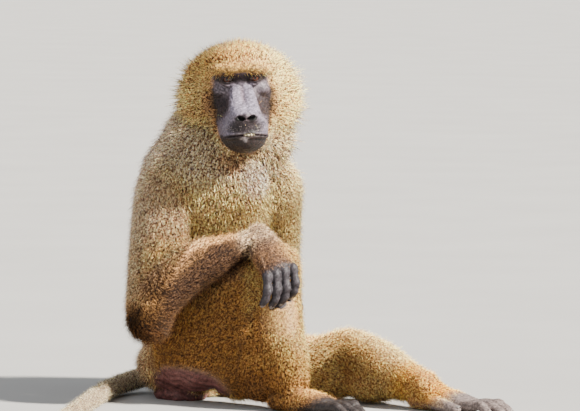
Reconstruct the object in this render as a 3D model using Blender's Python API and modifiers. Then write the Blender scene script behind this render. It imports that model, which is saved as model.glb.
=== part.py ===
"""Guinea baboon, an adult male sitting at rest with its head turned to its right, life size.

Metres. +X is the way the hips face, +Y the animal's left and +Z up. The origin is on the floor
between the seat pads. The right knee is drawn up under the right forearm, the left leg lies
stretched out in front, the left hand lies in the lap and the tail trails on the floor.
"""

import math
import random

import bmesh
import bpy
import numpy as np
from mathutils import Matrix, Vector
from mathutils.bvhtree import BVHTree

# Clearance between neighbouring pieces.
GAP = 0.0005

# The joints of the limbs, inside the coat.
HIP_LEFT = (0.030, 0.060, 0.085)
HIP_RIGHT = (0.030, -0.060, 0.087)
KNEE_LEFT = (0.228, 0.104, 0.080)
KNEE_RIGHT = (0.193, -0.039, 0.211)
ANKLE_LEFT = (0.395, 0.075, 0.038)
ANKLE_RIGHT = (0.246, -0.068, 0.042)
SHOULDER_LEFT = (0.064, 0.110, 0.318)
SHOULDER_RIGHT = (0.000, -0.100, 0.320)
ELBOW_LEFT = (0.018, 0.168, 0.152)
ELBOW_RIGHT = (0.032, -0.163, 0.138)
WRIST_LEFT = (0.132, 0.016, 0.196)
WRIST_RIGHT = (0.168, -0.059, 0.264)

# The hands: knuckle row, first finger joint and finger tips, and the way across the row.
KNUCKLES_RIGHT = (0.229, -0.079, 0.217)
KNUCKLES_LEFT = (0.166, 0.034, 0.166)
HAND_WIDTH = 0.055
FINGER_RADIUS = 0.0078
FINGER_LENGTHS = (0.050, 0.058, 0.060, 0.054)

# The feet: the length from heel to toe tips, and the way each points.
FOOT_LENGTH = 0.200
FOOT_WIDTH = 0.052
TOE_RADIUS = 0.0085
TOE_REACHES = (0.92, 0.99, 1.0, 0.95)
HEEL_LEFT = (0.358, 0.078)
HEEL_RIGHT = (0.194, -0.066)
FOOT_TURN_LEFT = math.radians(-1.0)
FOOT_TURN_RIGHT = math.radians(-4.0)

# The head: the middle of the braincase, and the way the face looks.
HEAD_CENTRE = Vector((0.0855, -0.0012, 0.498))
HEAD_YAW = math.radians(-47.6)
HEAD_ROLL = math.radians(2.6)
MOUTH_CORNER = (0.082, 0.0318, -0.0690)
MOUTH_FRONT = 0.1415
LIP_HEIGHT = 0.0046
EYE_PLACE = (0.0455, 0.0210, 0.0195)
EYE_RADIUS = 0.0115
EAR_PLACE = (-0.044, 0.077, 0.004)
EAR_HEIGHT = 0.050
EAR_WIDTH = 0.034
EAR_LEAN = -28

# How deep the hair of the ruff lies over the core, and how far the locks' tips rise from their
# roots on the head and on the neck. The surface falls away under a tip, so a rise is less.
RUFF_DEPTH = 0.017
RUFF_RISE = 0.010
MANE_RISE = 0.012

# Each lock of hair: its thickness, and at three places along it, as shares of its length, its half
# width and half thickness as shares of the whole.
LOCK_THICKNESS = 0.0052
LOCK_RINGS = ((-0.22, 0.36, 0.50), (0.34, 0.50, 0.50), (0.72, 0.34, 0.36))

# How many ways the locks are looked for on the head and the neck, and their size on each.
RUFF_WAYS = 106
RUFF_LOCK_LENGTHS = (0.028, 0.046)
RUFF_LOCK_WIDTH = 0.026
MANE_WAYS = 104
MANE_LOCK_LENGTH = 0.052
MANE_LOCK_WIDTH = 0.030

# How far a lock's root may lie from the surface of the piece that covers it.
COVERED = 0.002

# Where the ruff starts at the side of the face and above the brow, in the head's own frame.
RUFF_EDGE = 0.020
BROW_LINE = 0.042

# The middle of the hair on the head, in its own frame, and of the hair on the neck.
RUFF_MIDDLE = Vector((-0.015, 0.0, -0.015))
MANE_MIDDLE = Vector((0.030, 0.010, 0.400))

# The planes that end the head inside the neck, and part neck from torso and torso from pelvis.
THROAT_PLANE = ((-0.065, 0.0, -0.080), (0.62, 0.0, 0.78))
MANE_PLANE = ((0.030, 0.0, 0.350), (-0.29, 0.0, 0.957))
WAIST_PLANE = ((0.0, 0.0, 0.122), (-0.15, 0.0, 0.989))

# The tail's half thickness at root and tip.
TAIL_ROOT_RADIUS = 0.019
TAIL_TIP_RADIUS = 0.010

FUR_GOLD = (0.42, 0.27, 0.12)
FUR_ARM = (0.34, 0.21, 0.10)
FUR_MANE = (0.48, 0.34, 0.19)
SKIN_FACE = (0.10, 0.075, 0.085)
SKIN_HAND = (0.10, 0.08, 0.075)
SKIN_SEAT = (0.23, 0.11, 0.11)
EYE_BROWN = (0.10, 0.04, 0.015)


def clear_scene():
    for obj in list(bpy.data.objects):
        bpy.data.objects.remove(obj)


def collection(name):
    made = bpy.data.collections.new(name)
    bpy.context.scene.collection.children.link(made)
    return made


def coloured(name, colour, roughness):
    material = bpy.data.materials.new(name)
    material.use_nodes = True
    shader = material.node_tree.nodes["Principled BSDF"]
    shader.inputs["Base Color"].default_value = (*colour, 1.0)
    shader.inputs["Roughness"].default_value = roughness
    shader.inputs["Metallic"].default_value = 0.0
    return material


def unit(vector):
    return vector / np.linalg.norm(vector)


def smooth_rows(stations, steps):
    """A smooth curve through rows of numbers, with this many steps between two rows."""
    rows = np.array(stations, float)
    padded = np.vstack([2 * rows[0] - rows[1], rows, 2 * rows[-1] - rows[-2]])
    made = []
    for a, b, c, d in zip(padded, padded[1:], padded[2:], padded[3:]):
        for t in np.arange(steps) / steps:
            curve = 2 * b + (c - a) * t + (2 * a - 5 * b + 4 * c - d) * t**2
            made.append(0.5 * (curve + (3 * b - a - 3 * c + d) * t**3))
    made.append(rows[-1])
    return np.array(made)


def add_tube(bm, stations, side=(0, 1, 0), steps=4, count=14, cap=0.8):
    """A tube with round ends, through stations of x, y, z, half width along side and half depth."""
    rows = smooth_rows(stations, steps)
    along = np.gradient(rows[:, :3], axis=0)
    rings = []
    ends = [(0, -1, angle) for angle in (65, 35)]
    ends += [(i, 0, 0) for i in range(len(rows))]
    ends += [(len(rows) - 1, 1, angle) for angle in (35, 65)]
    poles = []
    for i, way, angle in ends:
        forward = unit(along[i])
        across = unit(np.array(side, float) - forward * np.dot(side, forward))
        up = np.cross(forward, across)
        wide, deep = rows[i, 3:5]
        reach = cap * (wide + deep) / 2
        turn = math.radians(angle)
        centre = rows[i, :3] + way * forward * reach * math.sin(turn)
        ring = []
        for k in range(count):
            around = 2 * math.pi * k / count
            spread = across * wide * math.cos(around) + up * deep * math.sin(around)
            ring.append(bm.verts.new(centre + spread * math.cos(turn)))
        rings.append(ring)
        if angle == 65:
            poles.append(bm.verts.new(rows[i, :3] + way * forward * reach))
    for first, second in zip(rings, rings[1:]):
        for k in range(count):
            after = (k + 1) % count
            bm.faces.new((first[k], first[after], second[after], second[k]))
    for pole, ring in zip(poles, (rings[0], rings[-1])):
        for k in range(count):
            bm.faces.new((pole, ring[k], ring[(k + 1) % count]))


def add_ball(bm, centre, radii, turn=(0, 0, 0), segments=16):
    """A ball with its own half sizes along X, Y and Z, turned about X, Y and Z in degrees."""
    place = Matrix.Translation(centre)
    for axis, angle in zip("XYZ", turn):
        place = place @ Matrix.Rotation(math.radians(angle), 4, axis)
    place = place @ Matrix.Diagonal((*radii, 1))
    bmesh.ops.create_uvsphere(
        bm, u_segments=segments, v_segments=max(6, segments // 2 + 2), radius=1, matrix=place
    )


def object_of(name, bm, group):
    """A mesh object of what the bmesh holds, with its faces pointing out."""
    bmesh.ops.recalc_face_normals(bm, faces=bm.faces)
    mesh = bpy.data.meshes.new(name)
    bm.to_mesh(mesh)
    bm.free()
    obj = bpy.data.objects.new(name, mesh)
    group.objects.link(obj)
    return obj


def apply_modifiers(obj):
    bpy.context.view_layer.update()
    graph = bpy.context.evaluated_depsgraph_get()
    mesh = bpy.data.meshes.new_from_object(obj.evaluated_get(graph))
    obj.modifiers.clear()
    obj.data = mesh
    return obj


def fused(name, bm, voxel, rounds, triangles, group):
    """One closed skin round the forms in the bmesh, with its joins eased and its faces thinned."""
    obj = object_of(name, bm, group)
    join = obj.modifiers.new("join", "REMESH")
    join.mode = "VOXEL"
    join.voxel_size = voxel
    ease = obj.modifiers.new("ease", "SMOOTH")
    ease.factor = 0.5
    ease.iterations = rounds
    apply_modifiers(obj)
    thin = obj.modifiers.new("thin", "DECIMATE")
    thin.ratio = min(1.0, triangles / (2 * len(obj.data.polygons)))
    apply_modifiers(obj)
    keep_largest(obj)
    return obj


def copy_of(obj, name, group):
    made = bpy.data.objects.new(name, obj.data.copy())
    made.matrix_world = obj.matrix_world
    group.objects.link(made)
    return made


def mend_pinches(bm):
    """Closes up the few edges where thinning has folded a surface onto itself."""
    for _ in range(6):
        pinched = [e for e in bm.edges if len(e.link_faces) > 2]
        if not pinched:
            return
        bmesh.ops.collapse(bm, edges=pinched)
        bmesh.ops.dissolve_degenerate(bm, dist=1e-6, edges=bm.edges)


def keep_largest(obj):
    """Keeps the one closed surface of an object that holds the most, and drops the rest."""
    bm = bmesh.new()
    bm.from_mesh(obj.data)
    mend_pinches(bm)
    bmesh.ops.triangulate(bm, faces=bm.faces)
    left = set(bm.faces)
    pieces = []
    while left:
        start = left.pop()
        piece, edge = {start}, [start]
        while edge:
            for near in (f for e in edge.pop().edges for f in e.link_faces):
                if near in left:
                    left.remove(near)
                    piece.add(near)
                    edge.append(near)
        pieces.append(piece)

    def volume(piece):
        return sum(f.verts[0].co.dot(f.verts[1].co.cross(f.verts[2].co)) for f in piece)

    best = max(pieces, key=volume)
    bmesh.ops.delete(bm, geom=[f for f in bm.faces if f not in best], context="FACES")
    bm.to_mesh(obj.data)
    bm.free()


def boolean(obj, other, operation, solver="EXACT"):
    step = obj.modifiers.new("boolean", "BOOLEAN")
    step.operation = operation
    step.solver = solver
    if isinstance(other, bpy.types.Collection):
        step.operand_type = "COLLECTION"
        step.collection = other
    else:
        step.object = other
    apply_modifiers(obj)


def cut_clear(obj, others, solver="EXACT"):
    """Cuts an object back from its neighbours, so that they meet face to face with a small gap.

    A neighbour with locks folds over itself as it grows, which only the MANIFOLD solver takes.
    """
    for other in others:
        cutter = copy_of(other, other.name + "_grown", bpy.data.collections["cutters"])
        swell = cutter.modifiers.new("swell", "DISPLACE")
        swell.strength = GAP
        swell.mid_level = 0
        apply_modifiers(cutter)
        boolean(obj, cutter, "DIFFERENCE", solver)
        bpy.data.objects.remove(cutter)
        # a grown skin can fold in a tight hollow, so the neighbour itself is cut away too
        boolean(obj, other, "DIFFERENCE", solver)
    keep_largest(obj)


def keep_side(obj, point, normal):
    """Keeps what lies on the side of a plane that its normal points to, and closes the cut."""
    bm = bmesh.new()
    bm.from_mesh(obj.data)
    everything = bm.verts[:] + bm.edges[:] + bm.faces[:]
    bmesh.ops.bisect_plane(
        bm, geom=everything, plane_co=point, plane_no=normal, clear_inner=True, dist=1e-6
    )
    rim = [e for e in bm.edges if e.is_boundary]
    bmesh.ops.triangle_fill(bm, edges=rim, use_beauty=True, use_dissolve=False)
    bmesh.ops.recalc_face_normals(bm, faces=bm.faces)
    bm.to_mesh(obj.data)
    bm.free()
    keep_largest(obj)


def stand_on_floor(obj):
    """Cuts a small flat where an object meets the floor."""
    keep_side(obj, (0, 0, 0), (0, 0, 1))


def drop_flat_edges(obj):
    """Merges the flat fragments that cuts leave, so that no face is split without need."""
    bm = bmesh.new()
    bm.from_mesh(obj.data)
    bmesh.ops.dissolve_limit(bm, angle_limit=math.radians(1.5), verts=bm.verts, edges=bm.edges)
    bmesh.ops.triangulate(bm, faces=bm.faces)
    bm.to_mesh(obj.data)
    bm.free()


def even_directions(count):
    """Directions spread evenly over a ball, from the bottom to the top."""
    turn = math.pi * (3 - math.sqrt(5))
    for k in range(count):
        height = -1 + (2 * k + 1) / count
        ring = math.sqrt(1 - height**2)
        yield Vector((ring * math.cos(turn * k), ring * math.sin(turn * k), height))


def add_lock(group, root, out, lie, length, rise, width):
    """A flat lock of hair: root sunk in the core, blade bent over along the lie, and a pointed tip."""
    lie = (lie - out * lie.dot(out)).normalized()
    across = lie.cross(out)
    bm = bmesh.new()
    rings = []
    for share, wide, thick in LOCK_RINGS:
        height = rise * (1.55 * share - 0.55 * share * share)
        slope = rise * (1.55 - 1.1 * share) / length
        face = (out - lie * slope).normalized()
        centre = root + lie * length * share + out * height
        half, deep = across * width * wide, face * LOCK_THICKNESS * thick
        rings.append([bm.verts.new(centre + side) for side in (half, deep, -half, -deep)])
    tip = bm.verts.new(root + lie * length + out * rise)
    for first, second in zip(rings, rings[1:]):
        for k in range(4):
            after = (k + 1) % 4
            bm.faces.new((first[k], first[after], second[after], second[k]))
    for k in range(4):
        bm.faces.new((rings[-1][k], rings[-1][(k + 1) % 4], tip))
    bm.faces.new(rings[0])
    bmesh.ops.triangulate(bm, faces=bm.faces)
    object_of("lock", bm, group)


def join_locks(obj, group):
    """Fuses the locks in a collection with the core that they grow from."""
    boolean(obj, group, "UNION")
    for lock in list(group.objects):
        bpy.data.objects.remove(lock)
    keep_largest(obj)


def surface_of(obj):
    bm = bmesh.new()
    bm.from_mesh(obj.data)
    tree = BVHTree.FromBMesh(bm)
    bm.free()
    return tree


def depth_inside(tree, point):
    """How deep a point lies under a closed surface; below zero outside it."""
    near, normal, _, distance = tree.find_nearest(point)
    return distance if (near - point).dot(normal) > 0 else -distance


# The head's own frame: +X the way the face looks, +Y its left and +Z its crown.
HEAD = (
    Matrix.Translation(HEAD_CENTRE)
    @ Matrix.Rotation(HEAD_YAW, 4, "Z")
    @ Matrix.Rotation(HEAD_ROLL, 4, "X")
)


def mouth_rows(z, wide, deep, lift=0.0015):
    """Stations along the line of the mouth, from one corner round the front to the other."""
    rows = []
    for angle in np.radians(np.linspace(-90, 90, 11)):
        front = abs(math.cos(angle)) ** 0.62
        out = math.copysign(abs(math.sin(angle)) ** 0.80, angle)
        x = MOUTH_CORNER[0] + (MOUTH_FRONT - MOUTH_CORNER[0]) * front
        rows.append((x, MOUTH_CORNER[1] * out, z + lift * (1 - front), wide, deep))
    return rows


def braincase_and_face(bm):
    """The bare head under the hair: braincase, cheekbones, brow, muzzle, lips, jaw and throat."""
    add_ball(bm, (-0.006, 0, 0.010), (0.062, 0.051, 0.046))
    add_ball(bm, (0.028, 0, 0.018), (0.034, 0.046, 0.030))
    for y in (-1, 1):
        add_ball(bm, (0.004, y * 0.037, -0.008), (0.038, 0.026, 0.034))
        # the ridge along each side of the muzzle
        ridge = [
            (0.056, y * 0.0140, 0.002, 0.008, 0.009),
            (0.085, y * 0.0150, -0.0110, 0.0068, 0.008),
            (0.112, y * 0.0160, -0.0250, 0.0065, 0.007),
            (0.130, y * 0.0140, -0.0370, 0.0055, 0.006),
        ]
        add_tube(bm, ridge, count=10)
        # the wing of each nostril
        add_ball(bm, (0.1410, y * 0.0105, -0.0400), (0.0105, 0.0085, 0.0080))
        # the eyelids' round
        add_ball(bm, (EYE_PLACE[0], y * EYE_PLACE[1], EYE_PLACE[2]), (0.0136,) * 3, segments=20)
    brow = [
        (0.030, -0.051, 0.0200, 0.010, 0.0085),
        (0.046, -0.042, 0.0285, 0.010, 0.0085),
        (0.0570, -0.023, 0.0335, 0.0105, 0.0090),
        (0.0595, 0, 0.0335, 0.0100, 0.0090),
        (0.0570, 0.023, 0.0335, 0.0105, 0.0090),
        (0.046, 0.042, 0.0285, 0.010, 0.0085),
        (0.030, 0.051, 0.0200, 0.010, 0.0085),
    ]
    add_tube(bm, brow, side=(1, 0, 0), count=12)
    bridge = [
        (0.040, 0, -0.006, 0.0230, 0.0250),
        (0.060, 0, -0.0135, 0.0200, 0.0235),
        (0.080, 0, -0.0205, 0.0175, 0.0215),
        (0.100, 0, -0.0290, 0.0170, 0.0195),
        (0.125, 0, -0.0385, 0.0170, 0.0175),
        (0.138, 0, -0.0435, 0.0150, 0.0140),
    ]
    add_tube(bm, bridge, count=16, cap=0.5)
    add_ball(bm, (0.1445, 0, -0.0385), (0.0070, 0.0085, 0.0080))
    upper_jaw = [
        (0.030, 0, -0.034, 0.0400, 0.0300),
        (0.055, 0, -0.0400, 0.0330, 0.0260),
        (0.080, 0, -0.0460, 0.0300, 0.0210),
        (0.105, 0, -0.0505, 0.0305, 0.0170),
        (0.124, 0, -0.0535, 0.0290, 0.0145),
        (0.1345, 0, -0.0545, 0.0235, 0.0120),
    ]
    add_tube(bm, upper_jaw, count=18, cap=0.45)
    for way, deep in ((1, 0.0042), (-1, 0.0038)):
        lip = mouth_rows(MOUTH_CORNER[2] + way * LIP_HEIGHT, LIP_HEIGHT, deep)
        add_tube(bm, lip, side=(0, 0, 1), steps=2, count=8)
    lower_jaw = [
        (-0.010, 0, -0.060, 0.052, 0.026),
        (0.030, 0, -0.071, 0.043, 0.022),
        (0.070, 0, -0.0775, 0.0330, 0.0190),
        (0.105, 0, -0.0805, 0.0290, 0.0172),
        (0.124, 0, -0.0815, 0.0255, 0.0165),
    ]
    add_tube(bm, lower_jaw, count=16, cap=0.66)
    throat = [
        (0.030, 0, -0.072, 0.036, 0.026),
        (-0.010, 0, -0.082, 0.050, 0.046),
        (-0.045, 0, -0.110, 0.060, 0.056),
    ]
    add_tube(bm, throat, count=14)


def ruff(bm, depth):
    """The hair round the head, from the edge of the face back over cheeks, crown and nape."""
    stations = [
        (0.030, 0, -0.014, 0.062, 0.056),
        (0.022, 0, -0.016, 0.086, 0.070),
        (0.004, 0, -0.018, 0.102, 0.082),
        (-0.016, 0, -0.018, 0.100, 0.085),
        (-0.038, 0, -0.019, 0.090, 0.082),
        (-0.062, 0, -0.022, 0.081, 0.074),
        (-0.086, 0, -0.028, 0.064, 0.058),
    ]
    inner = [(x, y, z, wide - depth, deep - depth) for x, y, z, wide, deep in stations]
    add_tube(bm, inner, count=20, cap=0.35)
    add_ball(bm, (-0.012, 0, 0.028 - depth / 2), (0.066 - depth, 0.064 - depth, 0.048 - depth / 2))
    # the beard under the cheeks, which runs back to the throat
    chin_hair = [
        (0.006, 0, -0.072, 0.068, 0.032),
        (-0.025, 0, -0.080, 0.074, 0.042),
        (-0.060, 0, -0.090, 0.078, 0.050),
    ]
    add_tube(bm, [(x, y, z, w - depth, d - depth / 2) for x, y, z, w, d in chin_hair], cap=0.4)


def in_head(obj):
    """Moves a shape made in the head's own frame to its place."""
    obj.data.transform(HEAD)
    return obj


def eye_cutter(bm, y):
    """The almond between the lids."""
    add_ball(bm, (0.058, y * 0.0212, 0.0180), (0.0120, 0.0088, 0.0036), turn=(y * 4, 0, y * 14))


def grow_ruff(head, trunk, group):
    """Locks out to the ruff's outline, all over the head but the face, the ears and the neck."""
    draw = random.Random(3)
    core = surface_of(head)
    body = surface_of(trunk)
    for way in even_directions(RUFF_WAYS):
        root, normal, _, _ = core.ray_cast(RUFF_MIDDLE + way * 0.3, -way)
        if root is None:
            continue
        if root.x > RUFF_EDGE and root.z < BROW_LINE:
            continue
        ear = Vector((EAR_PLACE[0], math.copysign(EAR_PLACE[1], root.y), EAR_PLACE[2]))
        if (root - ear).length < EAR_HEIGHT / 2:
            continue
        if depth_inside(body, HEAD @ root) > COVERED:
            continue
        # hair is short at the edge of the face and long on the cheeks
        grown = min(1.0, max(0.35, (RUFF_EDGE + 0.030 - root.x) / 0.060))
        lie = Vector((-1.0, 0.25 * math.copysign(1, root.y) * (root.z < 0.02), -0.25))
        lie += Vector((0, draw.uniform(-0.15, 0.15), draw.uniform(-0.15, 0.15)))
        short, long = RUFF_LOCK_LENGTHS
        length = (short + (long - short) * grown) * draw.uniform(0.9, 1.1)
        width = RUFF_LOCK_WIDTH * draw.uniform(0.9, 1.15)
        add_lock(group, root, normal, lie, length, RUFF_RISE * grown, width)


def grow_mane(neck, head, group):
    """Locks over the neck and the tops of the shoulders, lying down and back."""
    draw = random.Random(7)
    core = surface_of(neck)
    skull = surface_of(head)
    for way in even_directions(MANE_WAYS):
        root, normal, _, _ = core.ray_cast(MANE_MIDDLE + way * 0.4, -way)
        if root is None or (root - Vector(MANE_PLANE[0])).dot(Vector(MANE_PLANE[1])) < 0.006:
            continue
        if depth_inside(skull, root) > -COVERED or normal.z > 0.7:
            continue
        lie = Vector((draw.uniform(-0.3, 0), draw.uniform(-0.15, 0.15), -1.0))
        length = MANE_LOCK_LENGTH * draw.uniform(0.9, 1.1)
        width = MANE_LOCK_WIDTH * draw.uniform(0.9, 1.15)
        add_lock(group, root, normal, lie, length, MANE_RISE, width)


def make_head(parts, cutters, trunk):
    bm = bmesh.new()
    braincase_and_face(bm)
    ruff(bm, RUFF_DEPTH)
    head = fused("head", bm, voxel=0.0022, rounds=5, triangles=1450, group=parts)
    locks = collection("ruff_locks")
    grow_ruff(head, trunk, locks)
    join_locks(head, locks)
    parting = bmesh.new()
    line = mouth_rows(MOUTH_CORNER[2], 0.0008, 0.0065)
    add_tube(parting, line, side=(0, 0, 1), steps=1, count=6, cap=0.1)
    groove = object_of("mouth_line", parting, cutters)
    boolean(head, groove, "DIFFERENCE")
    bpy.data.objects.remove(groove)
    eyes = {}
    for y, side in ((1, "left"), (-1, "right")):
        ball = bmesh.new()
        centre = (EYE_PLACE[0], y * EYE_PLACE[1], EYE_PLACE[2])
        add_ball(ball, centre, (EYE_RADIUS,) * 3, turn=(0, 90, 0), segments=12)
        eyes[side] = object_of("eye_" + side, ball, parts)
        opening = bmesh.new()
        eye_cutter(opening, y)
        cutter = object_of("lid_opening", opening, cutters)
        boolean(head, cutter, "DIFFERENCE")
        bpy.data.objects.remove(cutter)
        cut_clear(head, [eyes[side]])
        nostril = bmesh.new()
        place = (0.1505, y * 0.0088, -0.0420)
        add_ball(nostril, place, (0.0085, 0.0042, 0.0030), turn=(y * 20, 20, y * 18), segments=10)
        cutter = object_of("nostril", nostril, cutters)
        boolean(head, cutter, "DIFFERENCE")
        bpy.data.objects.remove(cutter)
    ears = {}
    for y, side in ((1, "left"), (-1, "right")):
        shell = bmesh.new()
        place = Vector((EAR_PLACE[0], y * EAR_PLACE[1], EAR_PLACE[2]))
        lean = (0, -8, y * EAR_LEAN)
        add_ball(shell, place, (EAR_WIDTH / 2, 0.010, EAR_HEIGHT / 2), turn=lean, segments=11)
        ear = object_of("ear_" + side, shell, parts)
        cup = bmesh.new()
        inside = place + Vector((0.004, y * 0.008, 0))
        add_ball(cup, inside, (0.013, 0.009, 0.019), turn=lean, segments=9)
        cutter = object_of("ear_cup", cup, cutters)
        boolean(ear, cutter, "DIFFERENCE")
        bpy.data.objects.remove(cutter)
        keep_largest(ear)
        ears[side] = ear
        cut_clear(head, [ear])
    keep_side(head, *THROAT_PLANE)
    for obj in (head, *eyes.values(), *ears.values()):
        in_head(obj)
    return head, eyes, ears


def make_trunk(parts):
    """Pelvis, torso and the core of the neck as one form."""
    bm = bmesh.new()
    spine = [
        (0.000, 0, 0.050, 0.088, 0.070),
        (0.000, 0, 0.090, 0.100, 0.086),
        (-0.008, 0, 0.150, 0.098, 0.098),
        (-0.012, 0, 0.210, 0.098, 0.107),
        (-0.006, 0, 0.270, 0.102, 0.110),
        (0.008, 0, 0.320, 0.104, 0.108),
        (0.020, 0.002, 0.355, 0.100, 0.103),
        (0.026, 0.008, 0.390, 0.090, 0.090),
        (0.024, 0.018, 0.425, 0.076, 0.074),
        (0.024, 0.030, 0.448, 0.056, 0.050),
    ]
    add_tube(bm, spine, count=20, cap=0.25)
    for y in (-1, 1):
        add_ball(bm, (-0.010, y * 0.047, 0.055), (0.075, 0.054, 0.054))
    # the breast, the hump of the withers, and the mane over each shoulder
    add_ball(bm, (0.040, 0.012, 0.310), (0.080, 0.088, 0.090))
    add_ball(bm, (-0.030, 0, 0.330), (0.068, 0.085, 0.070))
    add_ball(bm, (0.072, 0.082, 0.352), (0.050, 0.052, 0.052))
    add_ball(bm, (0.010, -0.076, 0.340), (0.058, 0.052, 0.058))
    return fused("trunk", bm, voxel=0.005, rounds=14, triangles=1150, group=parts)


def part_trunk(trunk, head, ears, parts):
    """Parts the trunk into neck, torso and pelvis, and grows the mane on the neck."""
    neck = copy_of(trunk, "neck", parts)
    keep_side(neck, Vector(MANE_PLANE[0]) + Vector(MANE_PLANE[1]) * GAP, MANE_PLANE[1])
    torso = copy_of(trunk, "torso", parts)
    keep_side(torso, MANE_PLANE[0], -Vector(MANE_PLANE[1]))
    keep_side(torso, Vector(WAIST_PLANE[0]) + Vector(WAIST_PLANE[1]) * GAP, WAIST_PLANE[1])
    pelvis = copy_of(trunk, "pelvis", parts)
    keep_side(pelvis, WAIST_PLANE[0], -Vector(WAIST_PLANE[1]))
    bpy.data.objects.remove(trunk)
    cut_clear(torso, [head], "MANIFOLD")
    locks = collection("mane_locks")
    grow_mane(neck, head, locks)
    join_locks(neck, locks)
    cut_clear(neck, [head, *ears.values(), torso], "MANIFOLD")
    return neck, torso, pelvis


def make_seat(pelvis, parts):
    """The two bare pads that it sits on, grown together in the middle."""
    bm = bmesh.new()
    for y in (-1, 1):
        add_ball(bm, (-0.004, y * 0.040, 0.006), (0.050, 0.038, 0.016), segments=16)
    add_ball(bm, (-0.004, 0, 0.006), (0.034, 0.030, 0.012), segments=12)
    pads = fused("seat_pads", bm, voxel=0.0025, rounds=3, triangles=200, group=parts)
    stand_on_floor(pads)
    cut_clear(pelvis, [pads])
    return pads


def add_limb(bm, start, end, radii, side, bow=(0, 0, 0)):
    """A limb from joint to joint, through rows of share of the way, half width and half depth."""
    start, end = np.array(start), np.array(end)
    stations = []
    for share, wide, deep in radii:
        place = start + (end - start) * share + np.array(bow) * math.sin(math.pi * share)
        stations.append((*place, wide, deep))
    add_tube(bm, stations, side=side, count=14)


UPPER_ARM = ((0.0, 0.046, 0.052), (0.45, 0.046, 0.050), (0.8, 0.041, 0.043), (1.0, 0.042, 0.042))
# The forearm's rows are share of the way, rise above the line of the bones, half width and half depth.
FOREARM = (
    (0.0, 0.020, 0.042, 0.043),
    (0.22, 0.036, 0.041, 0.045),
    (0.40, 0.036, 0.037, 0.040),
    (0.60, 0.024, 0.033, 0.034),
    (0.85, 0.008, 0.024, 0.0235),
    (1.0, 0.002, 0.021, 0.0195),
)
THIGH_RIGHT = ((0.0, 0.066, 0.080), (0.35, 0.060, 0.072), (0.7, 0.050, 0.057), (1.0, 0.041, 0.043))
SHANK_RIGHT = (
    (0.0, 0.040, 0.044),
    (0.3, 0.044, 0.061),
    (0.6, 0.043, 0.062),
    (0.85, 0.035, 0.053),
    (1.0, 0.026, 0.034),
)


def add_forearm(bm, elbow, wrist, swell):
    """The forearm, with the muscle that swells above the line of its bones near the elbow."""
    elbow, wrist = np.array(elbow), np.array(wrist)
    stations = []
    for share, rise, wide, deep in FOREARM:
        place = elbow + (wrist - elbow) * share + np.array((0, 0, rise * swell))
        stations.append((*place, wide, deep))
    add_tube(bm, stations, count=14)


def make_arm(side, shoulder, elbow, wrist, swell, parts):
    out = (0, 1, 0)
    bm = bmesh.new()
    add_limb(bm, shoulder, elbow, UPPER_ARM, out)
    add_ball(bm, shoulder, (0.050, 0.046, 0.058))
    upper = fused("upper_arm_" + side, bm, voxel=0.0045, rounds=5, triangles=230, group=parts)
    bm = bmesh.new()
    add_forearm(bm, elbow, wrist, swell)
    add_ball(bm, elbow, (0.043, 0.043, 0.046))
    fore = fused("forearm_" + side, bm, voxel=0.004, rounds=5, triangles=240, group=parts)
    return upper, fore


def make_leg_right(parts):
    bm = bmesh.new()
    add_limb(bm, HIP_RIGHT, KNEE_RIGHT, THIGH_RIGHT, (0, 1, 0), bow=(0.004, -0.006, -0.012))
    add_ball(bm, KNEE_RIGHT, (0.043, 0.041, 0.044))
    add_ball(bm, (0.050, -0.072, 0.064), (0.074, 0.052, 0.054))
    # the thigh is pressed against the forearm, and against the calf
    add_ball(bm, (0.142, -0.055, 0.196), (0.050, 0.042, 0.042))
    add_ball(bm, (0.128, -0.062, 0.060), (0.062, 0.043, 0.052))
    thigh = fused("thigh_right", bm, voxel=0.0045, rounds=8, triangles=270, group=parts)
    bm = bmesh.new()
    add_limb(bm, KNEE_RIGHT, ANKLE_RIGHT, SHANK_RIGHT, (0, 1, 0), bow=(-0.030, 0, 0))
    add_ball(bm, (0.158, -0.058, 0.120), (0.058, 0.044, 0.066))
    add_ball(bm, (0.182, -0.064, 0.066), (0.068, 0.043, 0.056))
    shank = fused("shank_right", bm, voxel=0.004, rounds=5, triangles=210, group=parts)
    return thigh, shank


def make_leg_left(parts):
    bm = bmesh.new()
    thigh_rows = [
        (*HIP_LEFT, 0.062, 0.066),
        (0.100, 0.078, 0.064, 0.058, 0.050),
        (0.165, 0.092, 0.061, 0.049, 0.043),
        (*KNEE_LEFT, 0.041, 0.041),
    ]
    add_tube(bm, thigh_rows)
    # the limb lies on the floor below the knee
    add_ball(bm, (0.185, 0.098, 0.040), (0.080, 0.046, 0.038))
    add_ball(bm, (0.050, 0.072, 0.062), (0.072, 0.052, 0.052))
    thigh = fused("thigh_left", bm, voxel=0.0045, rounds=8, triangles=260, group=parts)
    bm = bmesh.new()
    shank_rows = [
        (*KNEE_LEFT, 0.040, 0.040),
        (0.262, 0.099, 0.068, 0.041, 0.044),
        (0.300, 0.092, 0.057, 0.040, 0.045),
        (0.350, 0.082, 0.043, 0.031, 0.036),
        (*ANKLE_LEFT, 0.024, 0.026),
    ]
    add_tube(bm, shank_rows)
    add_ball(bm, (0.275, 0.096, 0.042), (0.066, 0.042, 0.040))
    shank = fused("shank_left", bm, voxel=0.004, rounds=5, triangles=210, group=parts)
    return thigh, shank


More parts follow.
